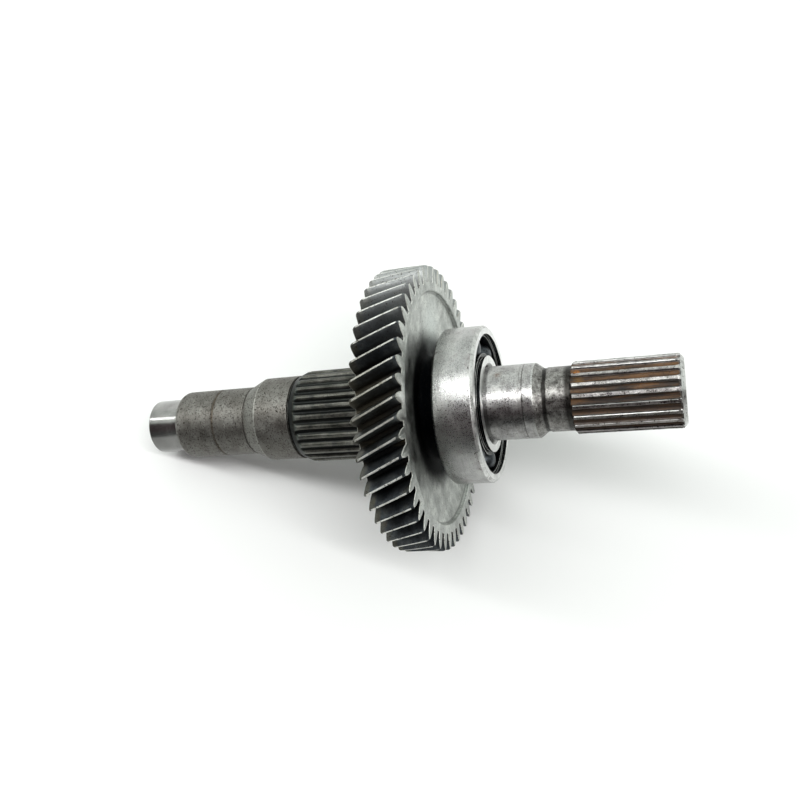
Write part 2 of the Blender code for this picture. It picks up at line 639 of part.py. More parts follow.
def build():
    clear_scene()
    shaft_steel = metal("ground shaft steel", (0.36, 0.36, 0.34), 0.38)
    gear_steel = metal("dark gear steel", (0.20, 0.20, 0.20), 0.45)
    ring_steel = metal("bearing ring steel", (0.50, 0.50, 0.48), 0.30)
    ball_steel = metal("polished ball steel", (0.60, 0.60, 0.60), 0.10)
    sheet_steel = metal("pressed cage steel", (0.28, 0.28, 0.29), 0.40)

    axis = bpy.data.objects.new("shaft_axis", None)
    bpy.context.collection.objects.link(axis)
    axis.rotation_euler = (0.0, -rest_tilt(), 0.0)

    place("output_shaft", shaft_mesh(), shaft_steel, axis)
    place("helical_gear", gear_mesh(), gear_steel, axis)
    place("bearing_inner_ring", inner_ring_mesh(), ring_steel, axis, BEARING_MIDDLE)
    place("bearing_outer_ring", outer_ring_mesh(), ring_steel, axis, BEARING_MIDDLE)

    cutter = rivet_hole_cutter(axis)
    for name, side in (("cage_half_left", -1.0), ("cage_half_right", 1.0)):
        half = place(name, cage_mesh(name, side), sheet_steel, axis, BEARING_MIDDLE)
        holes = half.modifiers.new("rivet holes", "BOOLEAN")
        holes.operation = "DIFFERENCE"
        holes.object = cutter

    ball = ball_mesh()
    rivet = rivet_mesh()
    for index in range(BALL_COUNT):
        ball_angle = BALL_TURN + FULL_TURN * index / BALL_COUNT
        sphere = place(f"bearing_ball_{index + 1}", ball, ball_steel, axis)
        sphere.location = on_axis(BEARING_MIDDLE, BALL_PITCH_RADIUS, ball_angle)
        pin = place(f"cage_rivet_{index + 1}", rivet, sheet_steel, axis)
        pin.location = on_axis(BEARING_MIDDLE, BALL_PITCH_RADIUS, ball_angle + math.pi / BALL_COUNT)

    stand_on_origin(axis)


build()
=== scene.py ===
import json
import math

import bmesh
import bpy
from mathutils import Matrix, Vector


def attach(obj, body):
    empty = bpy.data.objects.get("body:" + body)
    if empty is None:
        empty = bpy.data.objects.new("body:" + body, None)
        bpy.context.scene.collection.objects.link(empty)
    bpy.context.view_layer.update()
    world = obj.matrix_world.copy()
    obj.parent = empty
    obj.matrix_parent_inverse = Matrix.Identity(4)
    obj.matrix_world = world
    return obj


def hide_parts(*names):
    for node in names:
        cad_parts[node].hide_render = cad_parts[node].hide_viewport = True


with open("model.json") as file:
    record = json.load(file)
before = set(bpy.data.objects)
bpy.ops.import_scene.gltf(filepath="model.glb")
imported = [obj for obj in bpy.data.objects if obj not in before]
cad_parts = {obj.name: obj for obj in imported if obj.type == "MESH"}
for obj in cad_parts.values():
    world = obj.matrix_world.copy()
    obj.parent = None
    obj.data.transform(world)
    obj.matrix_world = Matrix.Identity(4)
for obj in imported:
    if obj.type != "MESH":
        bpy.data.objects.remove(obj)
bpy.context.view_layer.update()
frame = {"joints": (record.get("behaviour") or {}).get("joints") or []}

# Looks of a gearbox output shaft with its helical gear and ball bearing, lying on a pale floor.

mm = 0.001
fullTurn = 2 * math.pi
flatNormal = 0.9  # a face square to the axis has a normal whose X is over this

# The shaft's own frame comes from the bearing's joint: X runs along the axis towards the splined
# end, and station 0 is the gear's left face.
bearingMiddle = 29.7  # station of the bearing's middle, mm
ringJoint = next(joint for joint in frame["joints"] if joint["name"] == "outer_ring_spin")
axisWay = Vector(ringJoint["axis"]).normalized()
axisStart = Vector(ringJoint["pos_m"]) - axisWay * bearingMiddle * mm
axisTilt = math.atan2(axisWay.z, axisWay.x)
shaftFrame = Matrix.Translation(axisStart) @ Matrix.Rotation(-axisTilt, 4, "Y")


def linear(hexColour):
    # sRGB hex to the linear values that a shader takes
    parts = [int(hexColour[place:place + 2], 16) / 255 for place in (1, 3, 5)]
    return tuple(p / 12.92 if p <= 0.04045 else ((p + 0.055) / 1.055) ** 2.4 for p in parts) + (1.0,)


def add(tree, kind, inputs=None, stops=None, **settings):
    # one shader node, with its settings, the values or links of its inputs, and a ramp's stops
    node = tree.nodes.new("ShaderNode" + kind)
    for name, value in settings.items():
        setattr(node, name, value)
    for socket, value in (inputs or {}).items():
        if isinstance(value, bpy.types.NodeSocket):
            tree.links.new(value, node.inputs[socket])
        else:
            node.inputs[socket].default_value = value
    if stops:
        ramp = node.color_ramp.elements
        while len(ramp) < len(stops):
            ramp.new(1.0)
        for element, (place, colour) in zip(ramp, stops):
            element.position = place
            element.color = linear(colour) if isinstance(colour, str) else (colour, colour, colour, 1.0)
    return node


def perMetre(size):
    # a noise scale whose features are about this many millimetres across
    return 1 / (size * mm)


def onAxis(station, radius, angle):
    return Vector((station * mm, radius * mm * math.sin(angle), -radius * mm * math.cos(angle)))


def shaftCoordinates(tree):
    # Object coordinates turned into the shaft's own frame, and the distance from its axis
    place = add(tree, "TexCoord").outputs["Object"]
    local = add(tree, "Mapping", {
        "Vector": place,
        "Location": axisStart,
        "Rotation": (0, -axisTilt, 0),
    }, vector_type="TEXTURE").outputs["Vector"]
    flat = add(tree, "VectorMath", {0: local, 1: (0, 1, 1)}, operation="MULTIPLY").outputs["Vector"]
    reach = add(tree, "VectorMath", {0: flat}, operation="LENGTH").outputs["Value"]
    return local, reach


# what stands in the columns of a surface's marks: sizes and places in mm, turns in degrees
columns = {
    "stains": ("size", "start", "depth", "colour"),
    "bands": ("at", "half", "depth", "colour", "waver", "radial"),
    "spots": ("at", "radius", "angle", "half", "waver", "depth", "colour"),
}
# how softly clouds and marks fade, as steps of their noise or shares of their own size
fade = {
    "clouds": (0.36, 0.5, 0.64),
    "stain": 0.12, "speck": 0.05, "bandCore": 0.5, "spotCore": 0.4,
    "underShadeFrom": -0.2, "underShadeTo": -0.85, "pitRough": 0.25,
}


def marks(look, kind):
    # the rows of one kind of mark, each value under its column's name
    return [dict(zip(columns[kind], row)) for row in look[kind]]


def wornSteel(name, look):
    # Steel that was turned, ground and used: clouds and stains, specks of rust, bands at given
    # stations, grit in the shine, and colour below a given radius, which is rust in the output
    # spline's grooves and painted shade elsewhere. Some bands and spots are painted shade, others
    # painted highlights, and painted shade darkens the side that faces -Y. What look leaves out is
    # as in steelLook.
    look = {**steelLook, **look}
    material = bpy.data.materials.new(name)
    material.use_nodes = True
    tree = material.node_tree
    shader = tree.nodes["Principled BSDF"]
    shader.inputs["Metallic"].default_value = look["metallic"]
    local, reach = shaftCoordinates(tree)
    parts = add(tree, "SeparateXYZ", {0: local})
    station = parts.outputs["X"]

    cloud = add(tree, "TexNoise", {
        "Vector": local, "Scale": perMetre(look["cloudSize"]), "Detail": 5.0, "Roughness": 0.62,
    }).outputs["Fac"]
    stops = list(zip(fade["clouds"], look["clouds"]))
    colour = add(tree, "ValToRGB", {"Fac": cloud}, stops=stops).outputs["Color"]

    layers = []  # what lies on the steel, each its share and colour, from the lowest up
    for number, stain in enumerate(marks(look, "stains")):  # soft patches
        patch = add(tree, "TexNoise", {
            "Vector": local, "W": 3.7 * (number + 1), "Scale": perMetre(stain["size"]),
            "Detail": 4.0, "Roughness": 0.65,
        }, noise_dimensions="4D").outputs["Fac"]
        share = add(tree, "MapRange", {
            "Value": patch, "From Min": stain["start"], "From Max": stain["start"] + fade["stain"],
            "To Max": stain["depth"],
        }).outputs["Result"]
        layers.append((share, linear(stain["colour"])))

    if "hubShade" in look:  # painted shade near black, from the axis out to a radius, for the shade that the bearing casts on the gear's web
        hubShade = look["hubShade"]
        wavering = add(tree, "Math", {
            0: cloud, 1: hubShade["waver"] * mm, 2: reach,
        }, operation="MULTIPLY_ADD").outputs["Value"]
        hubShadeShare = add(tree, "MapRange", {
            "Value": wavering, "From Min": hubShade["low"] * mm, "From Max": hubShade["high"] * mm,
            "To Min": 1.0, "To Max": 0.0,
        }, interpolation_type="SMOOTHSTEP").outputs["Result"]
        layers.append((hubShadeShare, linear(hubShade["colour"])))

    for band in marks(look, "bands"):  # they run round the shaft, at a station or at a radius
        offset = add(tree, "Math", {
            0: cloud, 1: band["waver"] * mm, 2: -(band["at"] + band["waver"] / 2) * mm,
        }, operation="MULTIPLY_ADD").outputs["Value"]
        way = reach if band.get("radial") else station
        away = add(tree, "Math", {0: way, 1: offset}, operation="ADD").outputs["Value"]
        away = add(tree, "Math", {0: away}, operation="ABSOLUTE").outputs["Value"]
        share = add(tree, "MapRange", {
            "Value": away, "From Min": band["half"] * fade["bandCore"] * mm, "From Max": band["half"] * mm,
            "To Min": band["depth"], "To Max": 0.0,
        }).outputs["Result"]
        layers.append((share, linear(band["colour"])))

    for share, tint in layers:
        colour = add(tree, "Mix", {0: share, 6: colour, 7: tint}, data_type="RGBA").outputs[2]

    grainWay = add(tree, "VectorMath", {
        0: local, 1: look["grainWay"],
    }, operation="MULTIPLY").outputs["Vector"]
    grain = add(tree, "TexNoise", {
        "Vector": grainWay, "Scale": perMetre(look["grainSize"]), "Detail": 3.0, "Roughness": 0.7,
    }).outputs["Fac"]
    grit = add(tree, "TexNoise", {
        "Vector": local, "Scale": perMetre(look["gritSize"]), "Detail": 2.0, "Roughness": 0.6,
    }).outputs["Fac"]
    both = add(tree, "Math", {0: grain, 1: grit}, operation="ADD").outputs["Value"]
    shade = add(tree, "MapRange", {
        "Value": both, "From Min": 0.7, "From Max": 1.3,
        "To Min": 1.0 - look["grainDepth"], "To Max": 1.0 + look["grainDepth"],
    }).outputs["Result"]
    colour = add(tree, "VectorMath", {0: colour, "Scale": shade}, operation="SCALE").outputs["Vector"]
    layers = []  # what lies on the grain

    rough = add(tree, "MapRange", {
        "Value": cloud, "From Min": 0.38, "From Max": 0.62,
        "To Min": look["smooth"], "To Max": look["rough"],
    }).outputs["Result"]
    if "hubShade" in look:
        rough = add(tree, "Mix", {
            0: hubShadeShare, 2: rough, 3: look["hubShade"]["rough"],
        }, data_type="FLOAT").outputs[0]
    if "valley" in look:  # colour that fills the gaps between teeth, deepest at their roots: rust on the output spline, painted shade on the gear and the hub spline
        valley = look["valley"]
        wavering = add(tree, "Math", {
            0: cloud, 1: valley["waver"] * mm, 2: reach,
        }, operation="MULTIPLY_ADD").outputs["Value"]
        depth = add(tree, "MapRange", {
            "Value": wavering, "From Min": (valley["low"] + valley["waver"] / 2) * mm,
            "From Max": (valley["high"] + valley["waver"] / 2) * mm, "To Min": 1.0, "To Max": 0.0,
        }, interpolation_type="SMOOTHSTEP").outputs["Result"]
        streakWay = add(tree, "VectorMath", {
            0: local, 1: valley["streakWay"],
        }, operation="MULTIPLY").outputs["Vector"]
        streak = add(tree, "TexNoise", {
            "Vector": streakWay, "Scale": perMetre(valley["streakSize"]), "Detail": 5.0, "Roughness": 0.65,
        }).outputs["Fac"]
        dirt = add(tree, "ValToRGB", {"Fac": streak}, stops=valley["colours"]).outputs["Color"]
        layers.append((depth, dirt))
        rough = add(tree, "Mix", {0: depth, 2: rough, 3: valley["rough"]}, data_type="FLOAT").outputs[0]
        sheen = add(tree, "MapRange", {
            "Value": depth, "To Min": look["metallic"], "To Max": valley["metallic"],
        }).outputs["Result"]
        tree.links.new(sheen, shader.inputs["Metallic"])

    if "underShade" in look:  # painted shade along the side of each part that faces -Y, towards the dim near wall
        lean = add(tree, "Math", {0: parts.outputs["Y"], 1: reach}, operation="DIVIDE").outputs["Value"]
        share = add(tree, "MapRange", {
            "Value": lean, "From Min": fade["underShadeFrom"], "From Max": fade["underShadeTo"],
            "To Max": look["underShade"],
        }, interpolation_type="SMOOTHSTEP").outputs["Result"]
        layers.append((share, linear(look["underShadeColour"])))

    for spot in marks(look, "spots"):  # each at one place on the surface
        middle = onAxis(spot["at"], spot["radius"], math.radians(spot["angle"]))
        near = add(tree, "VectorMath", {0: local, 1: middle}, operation="DISTANCE").outputs["Value"]
        near = add(tree, "Math", {
            0: cloud, 1: spot["waver"] * mm, 2: near,
        }, operation="MULTIPLY_ADD").outputs["Value"]
        share = add(tree, "MapRange", {
            "Value": near, "From Min": spot["half"] * fade["spotCore"] * mm, "From Max": spot["half"] * mm,
            "To Min": spot["depth"], "To Max": 0.0,
        }).outputs["Result"]
        layers.append((share, linear(spot["colour"])))

    pits = None
    for number, speck in enumerate(look["specks"]):  # small spots of rust, sunk into the surface
        fine = add(tree, "TexNoise", {
            "Vector": local, "W": 5.3 * (number + 1), "Scale": perMetre(speck["size"]),
            "Detail": 1.5, "Roughness": 0.5,
        }, noise_dimensions="4D").outputs["Fac"]
        if "crowd" in speck:  # more of them near a station
            crowd = speck["crowd"]
            away = add(tree, "Math", {
                0: station, 1: crowd["at"] * mm,
            }, operation="SUBTRACT").outputs["Value"]
            away = add(tree, "Math", {0: away}, operation="ABSOLUTE").outputs["Value"]
            more = add(tree, "MapRange", {
                "Value": away, "From Min": 0.0, "From Max": crowd["half"] * mm,
                "To Min": crowd["more"], "To Max": 0.0,
            }).outputs["Result"]
            fine = add(tree, "Math", {0: fine, 1: more}, operation="ADD").outputs["Value"]
        spots = add(tree, "MapRange", {
            "Value": fine, "From Min": speck["start"], "From Max": speck["start"] + fade["speck"],
            "To Max": speck["depth"],
        }).outputs["Result"]
        layers.append((spots, linear(speck["colour"])))
        if pits is None:
            pits = spots
        else:
            pits = add(tree, "Math", {0: pits, 1: spots}, operation="MAXIMUM").outputs["Value"]

    for share, tint in layers:
        colour = add(tree, "Mix", {0: share, 6: colour, 7: tint}, data_type="RGBA").outputs[2]
    rough = add(tree, "Math", {
        0: pits, 1: fade["pitRough"], 2: rough,
    }, operation="MULTIPLY_ADD").outputs["Value"]
    gritRough = add(tree, "MapRange", {
        "Value": grit, "From Min": 0.35, "From Max": 0.65,
        "To Min": -look["gritRough"], "To Max": look["gritRough"],
    }).outputs["Result"]
    rough = add(tree, "Math", {
        0: rough, 1: gritRough,
    }, operation="ADD", use_clamp=True).outputs["Value"]
    # the relief, in mm
    height = add(tree, "Math", {
        0: grain, 1: look["grainHeight"],
    }, operation="MULTIPLY").outputs["Value"]
    height = add(tree, "Math", {
        0: grit, 1: look["gritHeight"], 2: height,
    }, operation="MULTIPLY_ADD").outputs["Value"]
    height = add(tree, "Math", {
        0: pits, 1: -look["pitHeight"], 2: height,
    }, operation="MULTIPLY_ADD").outputs["Value"]
    bump = add(tree, "Bump", {"Height": height, "Strength": 1.0, "Distance": mm})

    tree.links.new(colour, shader.inputs["Base Color"])
    tree.links.new(rough, shader.inputs["Roughness"])
    tree.links.new(bump.outputs["Normal"], shader.inputs["Normal"])
    return material


lathe = (1.0, 0.06, 0.06)  # grain that runs round the shaft
drawn = (0.05, 1.0, 1.0)  # grain that runs along the shaft

# The grit and the specks are drawn 0.45 to 1.1 mm across, coarser than real ones, so that they show.
rustSpeck = {"size": 0.8, "start": 0.64, "depth": 0.85, "colour": "#2c241e"}
fineSpeck = {"size": 0.45, "start": 0.62, "depth": 0.5, "colour": "#3a3632"}
steelLook = {
    "metallic": 1.0, "cloudSize": 9.0, "clouds": ("#6b6967", "#828180", "#969594"),
    "stains": [], "bands": [], "spots": [], "specks": [rustSpeck],
    "grainWay": lathe, "grainSize": 0.35, "grainDepth": 0.12, "grainHeight": 0.01,
    "gritSize": 0.55, "gritRough": 0.06, "gritHeight": 0.02, "pitHeight": 0.03,
    # colour of the painted shade on the side that faces -Y
    "underShadeColour": "#3f403e",
    "smooth": 0.3, "rough": 0.42,
}
surfaces = {
    # ground journal polished by its bush: mirror-like, with one sharp line of light
    "polishedPilot": wornSteel("polished pilot steel", {
        "clouds": ("#8f8e8c", "#9d9c9a", "#abaaa8"), "underShade": 0.55,
        "specks": [{**rustSpeck, "start": 0.7, "depth": 0.6}],
        "smooth": 0.17, "rough": 0.22, "gritRough": 0.02, "gritHeight": 0.003, "grainHeight": 0.004,
        "grainDepth": 0.08,
    }),
    # journals under a seal and a bush: dull brown-grey satin with oil stains and many dark specks
    "groundJournal": wornSteel("stained journal steel", {
        "clouds": ("#6a6863", "#7a7873", "#8a8984"), "cloudSize": 7.0,
        "underShade": 0.2,
        "stains": [
            (5.0, 0.5, 0.3, "#524b46"),
            (2.2, 0.56, 0.3, "#9c9a94"),
            (1.3, 0.56, 0.35, "#57514c"),
        ],
        "bands": [
            (-80.7, 0.7, 0.6, "#4a3d2c", 0.3),
            # painted shade in the relief groove at the foot of the cone
            (-65.8, 0.4, 0.6, "#24211e", 0.5),
            # painted light over the cone
            (-62.2, 3.2, 0.3, "#8e918b", 0.6),
            # painted highlight on the edge at the top of the cone
            (-58.9, 0.4, 0.6, "#b5b6b0", 0.4),
            (-99.0, 1.2, 0.5, "#8a8985", 0.6),
        ],
        "specks": [
            {**rustSpeck, "start": 0.625}, {**fineSpeck, "size": 0.6, "start": 0.58, "depth": 0.6},
        ],
        "grainDepth": 0.22, "smooth": 0.48, "rough": 0.58, "gritHeight": 0.05, "gritRough": 0.1,
    }),
    # the hub spline, oiled, with painted shade near black in the grooves between its teeth; lands worn dull
    "oiledSpline": wornSteel("oiled spline steel", {
        "grainWay": drawn, "clouds": ("#474742", "#5f5f59", "#767670"),
        "stains": [(4.0, 0.52, 0.6, "#37393a")],
        "bands": [
            # painted shade, black, in the relief slot before the spline
            (-43.2, 1.0, 1.0, "#050606", 0.0),
            (-41.0, 0.8, 0.8, "#5e583c", 1.2),
            (-39.9, 0.9, 0.7, "#4c5450", 0.8),
        ],
        "specks": [fineSpeck], "grainDepth": 0.25, "smooth": 0.36, "rough": 0.5,
        # painted shade near black in the grooves
        "valley": {
            "low": 18.1, "high": 18.75, "waver": 0.3, "streakWay": drawn, "streakSize": 2.5,
            "rough": 0.38, "metallic": 0.8,
            "colours": [(0.3, "#0b0d0c"), (0.5, "#151817"), (0.7, "#272a26")],
        },
    }),
    # the seat beyond the bearing: bright, with a grainy highlight and fine marks of its seal
    "brightJournal": wornSteel("bright journal steel", {
        "cloudSize": 6.0, "clouds": ("#9a9898", "#b8b7b6", "#d0cfcd"),
        "underShade": 0.5,
        "stains": [
            (3.0, 0.54, 0.35, "#635b5a"),
            (1.2, 0.58, 0.35, "#6a6461"),
        ],
        "bands": [
            # painted shade beside the inner ring
            (38.2, 1.0, 0.6, "#1b191a", 0.6),
            (52.2, 0.28, 0.75, "#45423f", 0.0),
            (51.0, 0.25, 0.35, "#6b6864", 0.1),
            # painted highlight on the edge at the journal's end
            (56.0, 0.5, 0.7, "#cfd0cd", 0.2),
        ],
        "spots": [
            (42.6, 14.6, 150, 4.6, 5.0, 0.6, "#7a5636"),
            (39.5, 14.6, 222, 8.0, 6.0, 0.7, "#242226"),
        ],
        "specks": [{**rustSpeck, "start": 0.67}, {**fineSpeck, "start": 0.61, "depth": 0.4}],
        "grainDepth": 0.24, "smooth": 0.27, "rough": 0.36, "gritHeight": 0.05, "gritRough": 0.08,
    }),
    # turned neck, mottled dark by old grease
    "mottledNeck": wornSteel("mottled neck steel", {
        "cloudSize": 3.0, "clouds": ("#6d6b68", "#908e8b", "#b0afab"),
        "underShade": 0.3,
        "stains": [
            (1.2, 0.52, 0.55, "#4c4a49"),
            (4.0, 0.54, 0.5, "#545250"),
        ],
        "bands": [
            # painted shade in the undercut
            (60.0, 1.0, 0.92, "#1c1b1a", 1.4),
            # painted shade where the neck meets the spline
            (69.9, 3.0, 0.88, "#24221f", 1.6),
        ],
        "specks": [rustSpeck, {**fineSpeck, "start": 0.56}],
        "grainDepth": 0.25, "gritHeight": 0.06, "gritRough": 0.1,
    }),
    # rust dried on the groove floors of the output spline; walls and lands are bare steel, the walls with
    # painted shade under the lands
    "rustySpline": wornSteel("rusty spline steel", {
        "cloudSize": 5.0, "grainWay": drawn, "grainDepth": 0.3, "underShade": 0.6,
        "underShadeColour": "#33271d",
        "clouds": ("#94908e", "#b8b5b3", "#d2d0cd"),
        "stains": [(3.0, 0.53, 0.5, "#6b6570")],
        "bands": [
            # painted shade on the groove walls, just under the lands
            (13.45, 0.34, 0.75, "#17110d", 0.12, True),
            # painted shade where the spline rises from the neck
            (69.9, 0.9, 0.85, "#15110f", 0.5),
        ],
        "spots": [
            (72.4, 13.0, 153, 2.4, 1.4, 0.95, "#c07618"),
            (73.0, 13.0, 168, 4.2, 3.0, 0.6, "#7a5a28"),
        ],
        "specks": [rustSpeck, {**fineSpeck, "start": 0.58}],
        "smooth": 0.26, "rough": 0.38, "gritHeight": 0.03,
        "valley": {
            "low": 12.95, "high": 13.4, "waver": 0.2, "streakWay": (0.12, 1.0, 1.0), "streakSize": 2.0,
            "rough": 0.6, "metallic": 0.2,
            "colours": [
                (0.34, "#120d0a"), (0.44, "#322419"), (0.53, "#513a25"), (0.62, "#6b4a29"), (0.72, "#514a45"),
            ],
        },
    }),
    # edges painted near white: painted highlight where they catch the light
    "rubbedEdge": wornSteel("edge highlight steel", {
        "cloudSize": 4.0, "clouds": ("#adadab", "#cfcfcd", "#e6e6e4"),
        "stains": [(1.2, 0.55, 0.6, "#6d6b69")],
    }),
    # case-hardened gear steel, dark and oily, with a fine cross-hatched grain left by grinding
    "gearFlank": wornSteel("case hardened gear steel", {
        "metallic": 0.85, "cloudSize": 6.0, "grainWay": (0.5, 1.0, 0.3), "grainSize": 0.5,
        "grainDepth": 0.32, "clouds": ("#2f3337", "#42474b", "#585c5d"),
        "stains": [
            (7.0, 0.58, 0.4, "#57523f"),
            (3.0, 0.55, 0.4, "#292b2e"),
        ],
        "bands": [(0.6, 2.6, 0.3, "#67604a", 2.0)],
        "spots": [
            # painted light: the half of the gear towards the bright window made lighter
            (9.0, 55.0, 98, 74.0, 8.0, 0.8, "#a9acaa"),
            (8.0, 56.5, 100, 19.0, 18.0, 0.9, "#b39a6a"),
            (2.0, 55.0, 195, 28.0, 18.0, 0.35, "#625c49"),
            (1.5, 55.0, 246, 4.5, 3.0, 0.85, "#5e4526"),
        ],
        "specks": [{**rustSpeck, "start": 0.65, "colour": "#33291c"}, fineSpeck],
        "smooth": 0.42, "rough": 0.54, "gritHeight": 0.03,
        # painted shade down the flanks, near black at the roots
        "valley": {
            "low": 51.0, "high": 54.2, "waver": 1.2, "streakWay": drawn, "streakSize": 5.0,
            "rough": 0.5, "metallic": 0.8,
            "colours": [(0.3, "#060709"), (0.5, "#101215"), (0.62, "#201f1c"), (0.72, "#463f2e")],
        },
    }),
    # the narrow lands on top of the teeth, worn bright
    "gearLand": wornSteel("worn gear land steel", {
        "metallic": 0.6, "clouds": ("#bdbeb9", "#dadbd6", "#eeefea"),
        "stains": [(3.0, 0.56, 0.6, "#6e6752")],
        "spots": [
            (8.0, 56.5, 100, 22.0, 18.0, 0.7, "#b39a6a"),
            (6.0, 57.0, 193, 36.0, 12.0, 0.65, "#5f5c4a"),
        ],
        "specks": [{**rustSpeck, "start": 0.61, "colour": "#3a3022"}], "smooth": 0.44, "rough": 0.56,
    }),
    # machined side of the gear: pale satin with faint streaks, and painted shade near black round the hub on
    # both sides
    "gearFace": wornSteel("machined gear face steel", {
        "cloudSize": 8.0, "grainWay": (1.0, 0.25, 0.6), "grainSize": 1.2, "grainDepth": 0.2,
        "clouds": ("#949793", "#b6b9b5", "#d0d3ce"),
        "stains": [
            (6.0, 0.54, 0.35, "#787b77"),
            (2.0, 0.58, 0.3, "#6e6c62"),
        ],
        "hubShade": {"low": 27.0, "high": 36.0, "colour": "#06080b", "waver": 3.0, "rough": 0.65},
        "bands": [  # painted shade in the recess' corner
            (46.2, 0.55, 0.5, "#3f403d", 0.5, True),
        ],
        # painted highlight: a pale patch on the web above the bearing
        "spots": [(15.0, 33.0, 108, 17.0, 8.0, 0.5, "#dbe2de")],
        "specks": [{**rustSpeck, "start": 0.69}, fineSpeck], "smooth": 0.32, "rough": 0.44,
        "gritHeight": 0.015,
    }),
    # ground bearing ring: bright, gritty in the light, with rust pits crowded along its edge
    "ringGround": wornSteel("ground bearing ring steel", {
        "cloudSize": 8.0, "clouds": ("#a7a7a6", "#babab9", "#cacac8"),
        "underShade": 0.35,
        "stains": [(6.0, 0.53, 0.4, "#87797a")],
        # painted shade along the ring's edge towards the gear
        "bands": [(21.9, 0.8, 0.6, "#3c3a38", 0.8)],
        "specks": [
            {
                **rustSpeck, "size": 1.1, "start": 0.73, "depth": 1.0,
                "crowd": {"at": 36.0, "half": 1.6, "more": 0.12},
            },
            {**fineSpeck, "start": 0.69, "depth": 0.25},
        ],
        "grainDepth": 0.22, "smooth": 0.29, "rough": 0.34,
        "gritSize": 0.45, "gritHeight": 0.062, "gritRough": 0.1,
    }),
    # sides of the rings towards the splined end, brighter than their ground rims: painted reflection of the
    # lit floor
    "ringFace": wornSteel("ring face steel with painted light", {
        "clouds": ("#d6d6d5", "#e9e9e8", "#f5f5f4"),
        "specks": [{**rustSpeck, "start": 0.69}], "smooth": 0.32, "rough": 0.42,
    }),
    # grooves, races and hidden sides inside the bearing, and the rings' sides towards the gear: painted shade
    # near black
    "ringInside": wornSteel("race steel painted dark for shade", {
        "clouds": ("#141619", "#1f2225", "#313438"),
        "specks": [fineSpeck], "smooth": 0.25, "rough": 0.4,
    }),
    # hard chromium steel balls: mirror-smooth and coloured dark
    "ball": wornSteel("polished ball steel", {
        "clouds": ("#4b4d51", "#5f6165", "#74767a"),
        "specks": [{**rustSpeck, "start": 0.75}], "smooth": 0.08, "rough": 0.14,
        "gritRough": 0.0, "gritHeight": 0.0, "grainHeight": 0.0, "grainDepth": 0.03,
    }),
    # cage pressed from sheet, dull and near black
    "cage": wornSteel("pressed cage sheet steel", {
        "cloudSize": 3.0, "clouds": ("#35383b", "#4b4f53", "#63676b"),
        "specks": [fineSpeck],
    }),
}
print("surfaces made:", len(surfaces))


def angleOf(vert):
    # turn about the shaft's axis, from straight down, right-handed about X
    return math.atan2(vert.co.y, -vert.co.z) % fullTurn


def startRing(bm, segments, place):
    # a capped circle across the shaft, whose vertices are numbered round the axis
    number = bm.verts.layers.int.new("number")
    made = bmesh.ops.create_circle(
        bm, cap_ends=True, segments=segments, radius=mm, matrix=Matrix.Rotation(math.pi / 2, 4, "Y")
    )
    for index, vert in enumerate(sorted(made["verts"], key=angleOf)):
        vert[number] = index
    for vert in made["verts"]:
        vert.co = place(vert[number])
    return list(bm.edges)


def nextRing(bm, edges, place):
    # extrudes a ring, and moves each new vertex to the place of its number
    number = bm.verts.layers.int["number"]
    made = bmesh.ops.extrude_edge_only(bm, edges=edges)["geom"]
    for vert in made:
        if isinstance(vert, bmesh.types.BMVert):
            vert.co = place(vert[number])
    return [edge for edge in made if isinstance(edge, bmesh.types.BMEdge) and len(edge.link_faces) == 1]


def roundEdges(bm, edges, rounding):
    # the rounding is in mm
    bmesh.ops.bevel(
        bm, geom=edges, offset=rounding * mm, offset_type="OFFSET", segments=3, profile=0.5,
        affect="EDGES", clamp_overlap=True, material=-1,
    )


def finishPiece(name, bm, body, replaced, materialNames, choose=None, sharp=32):
    # closes the mesh, gives each face the surface that choose names, and stands it in the frame
    bmesh.ops.remove_doubles(bm, verts=bm.verts, dist=0.001 * mm)
    bmesh.ops.recalc_face_normals(bm, faces=bm.faces)
    if choose:
        for face in bm.faces:
            middle = face.calc_center_median() / mm
            chosen = choose(face, middle.x, math.hypot(middle.y, middle.z))
            face.material_index = materialNames.index(chosen)
    bm.transform(shaftFrame)
    mesh = bpy.data.meshes.new(name)
    bm.to_mesh(mesh)
    bm.free()
    for materialName in materialNames:
        mesh.materials.append(surfaces[materialName])
    mesh.shade_smooth()
    mesh.set_sharp_from_angle(angle=math.radians(sharp))
    piece = bpy.data.objects.new(name, mesh)
    bpy.context.scene.collection.objects.link(piece)
    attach(piece, body)
    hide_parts(*replaced)


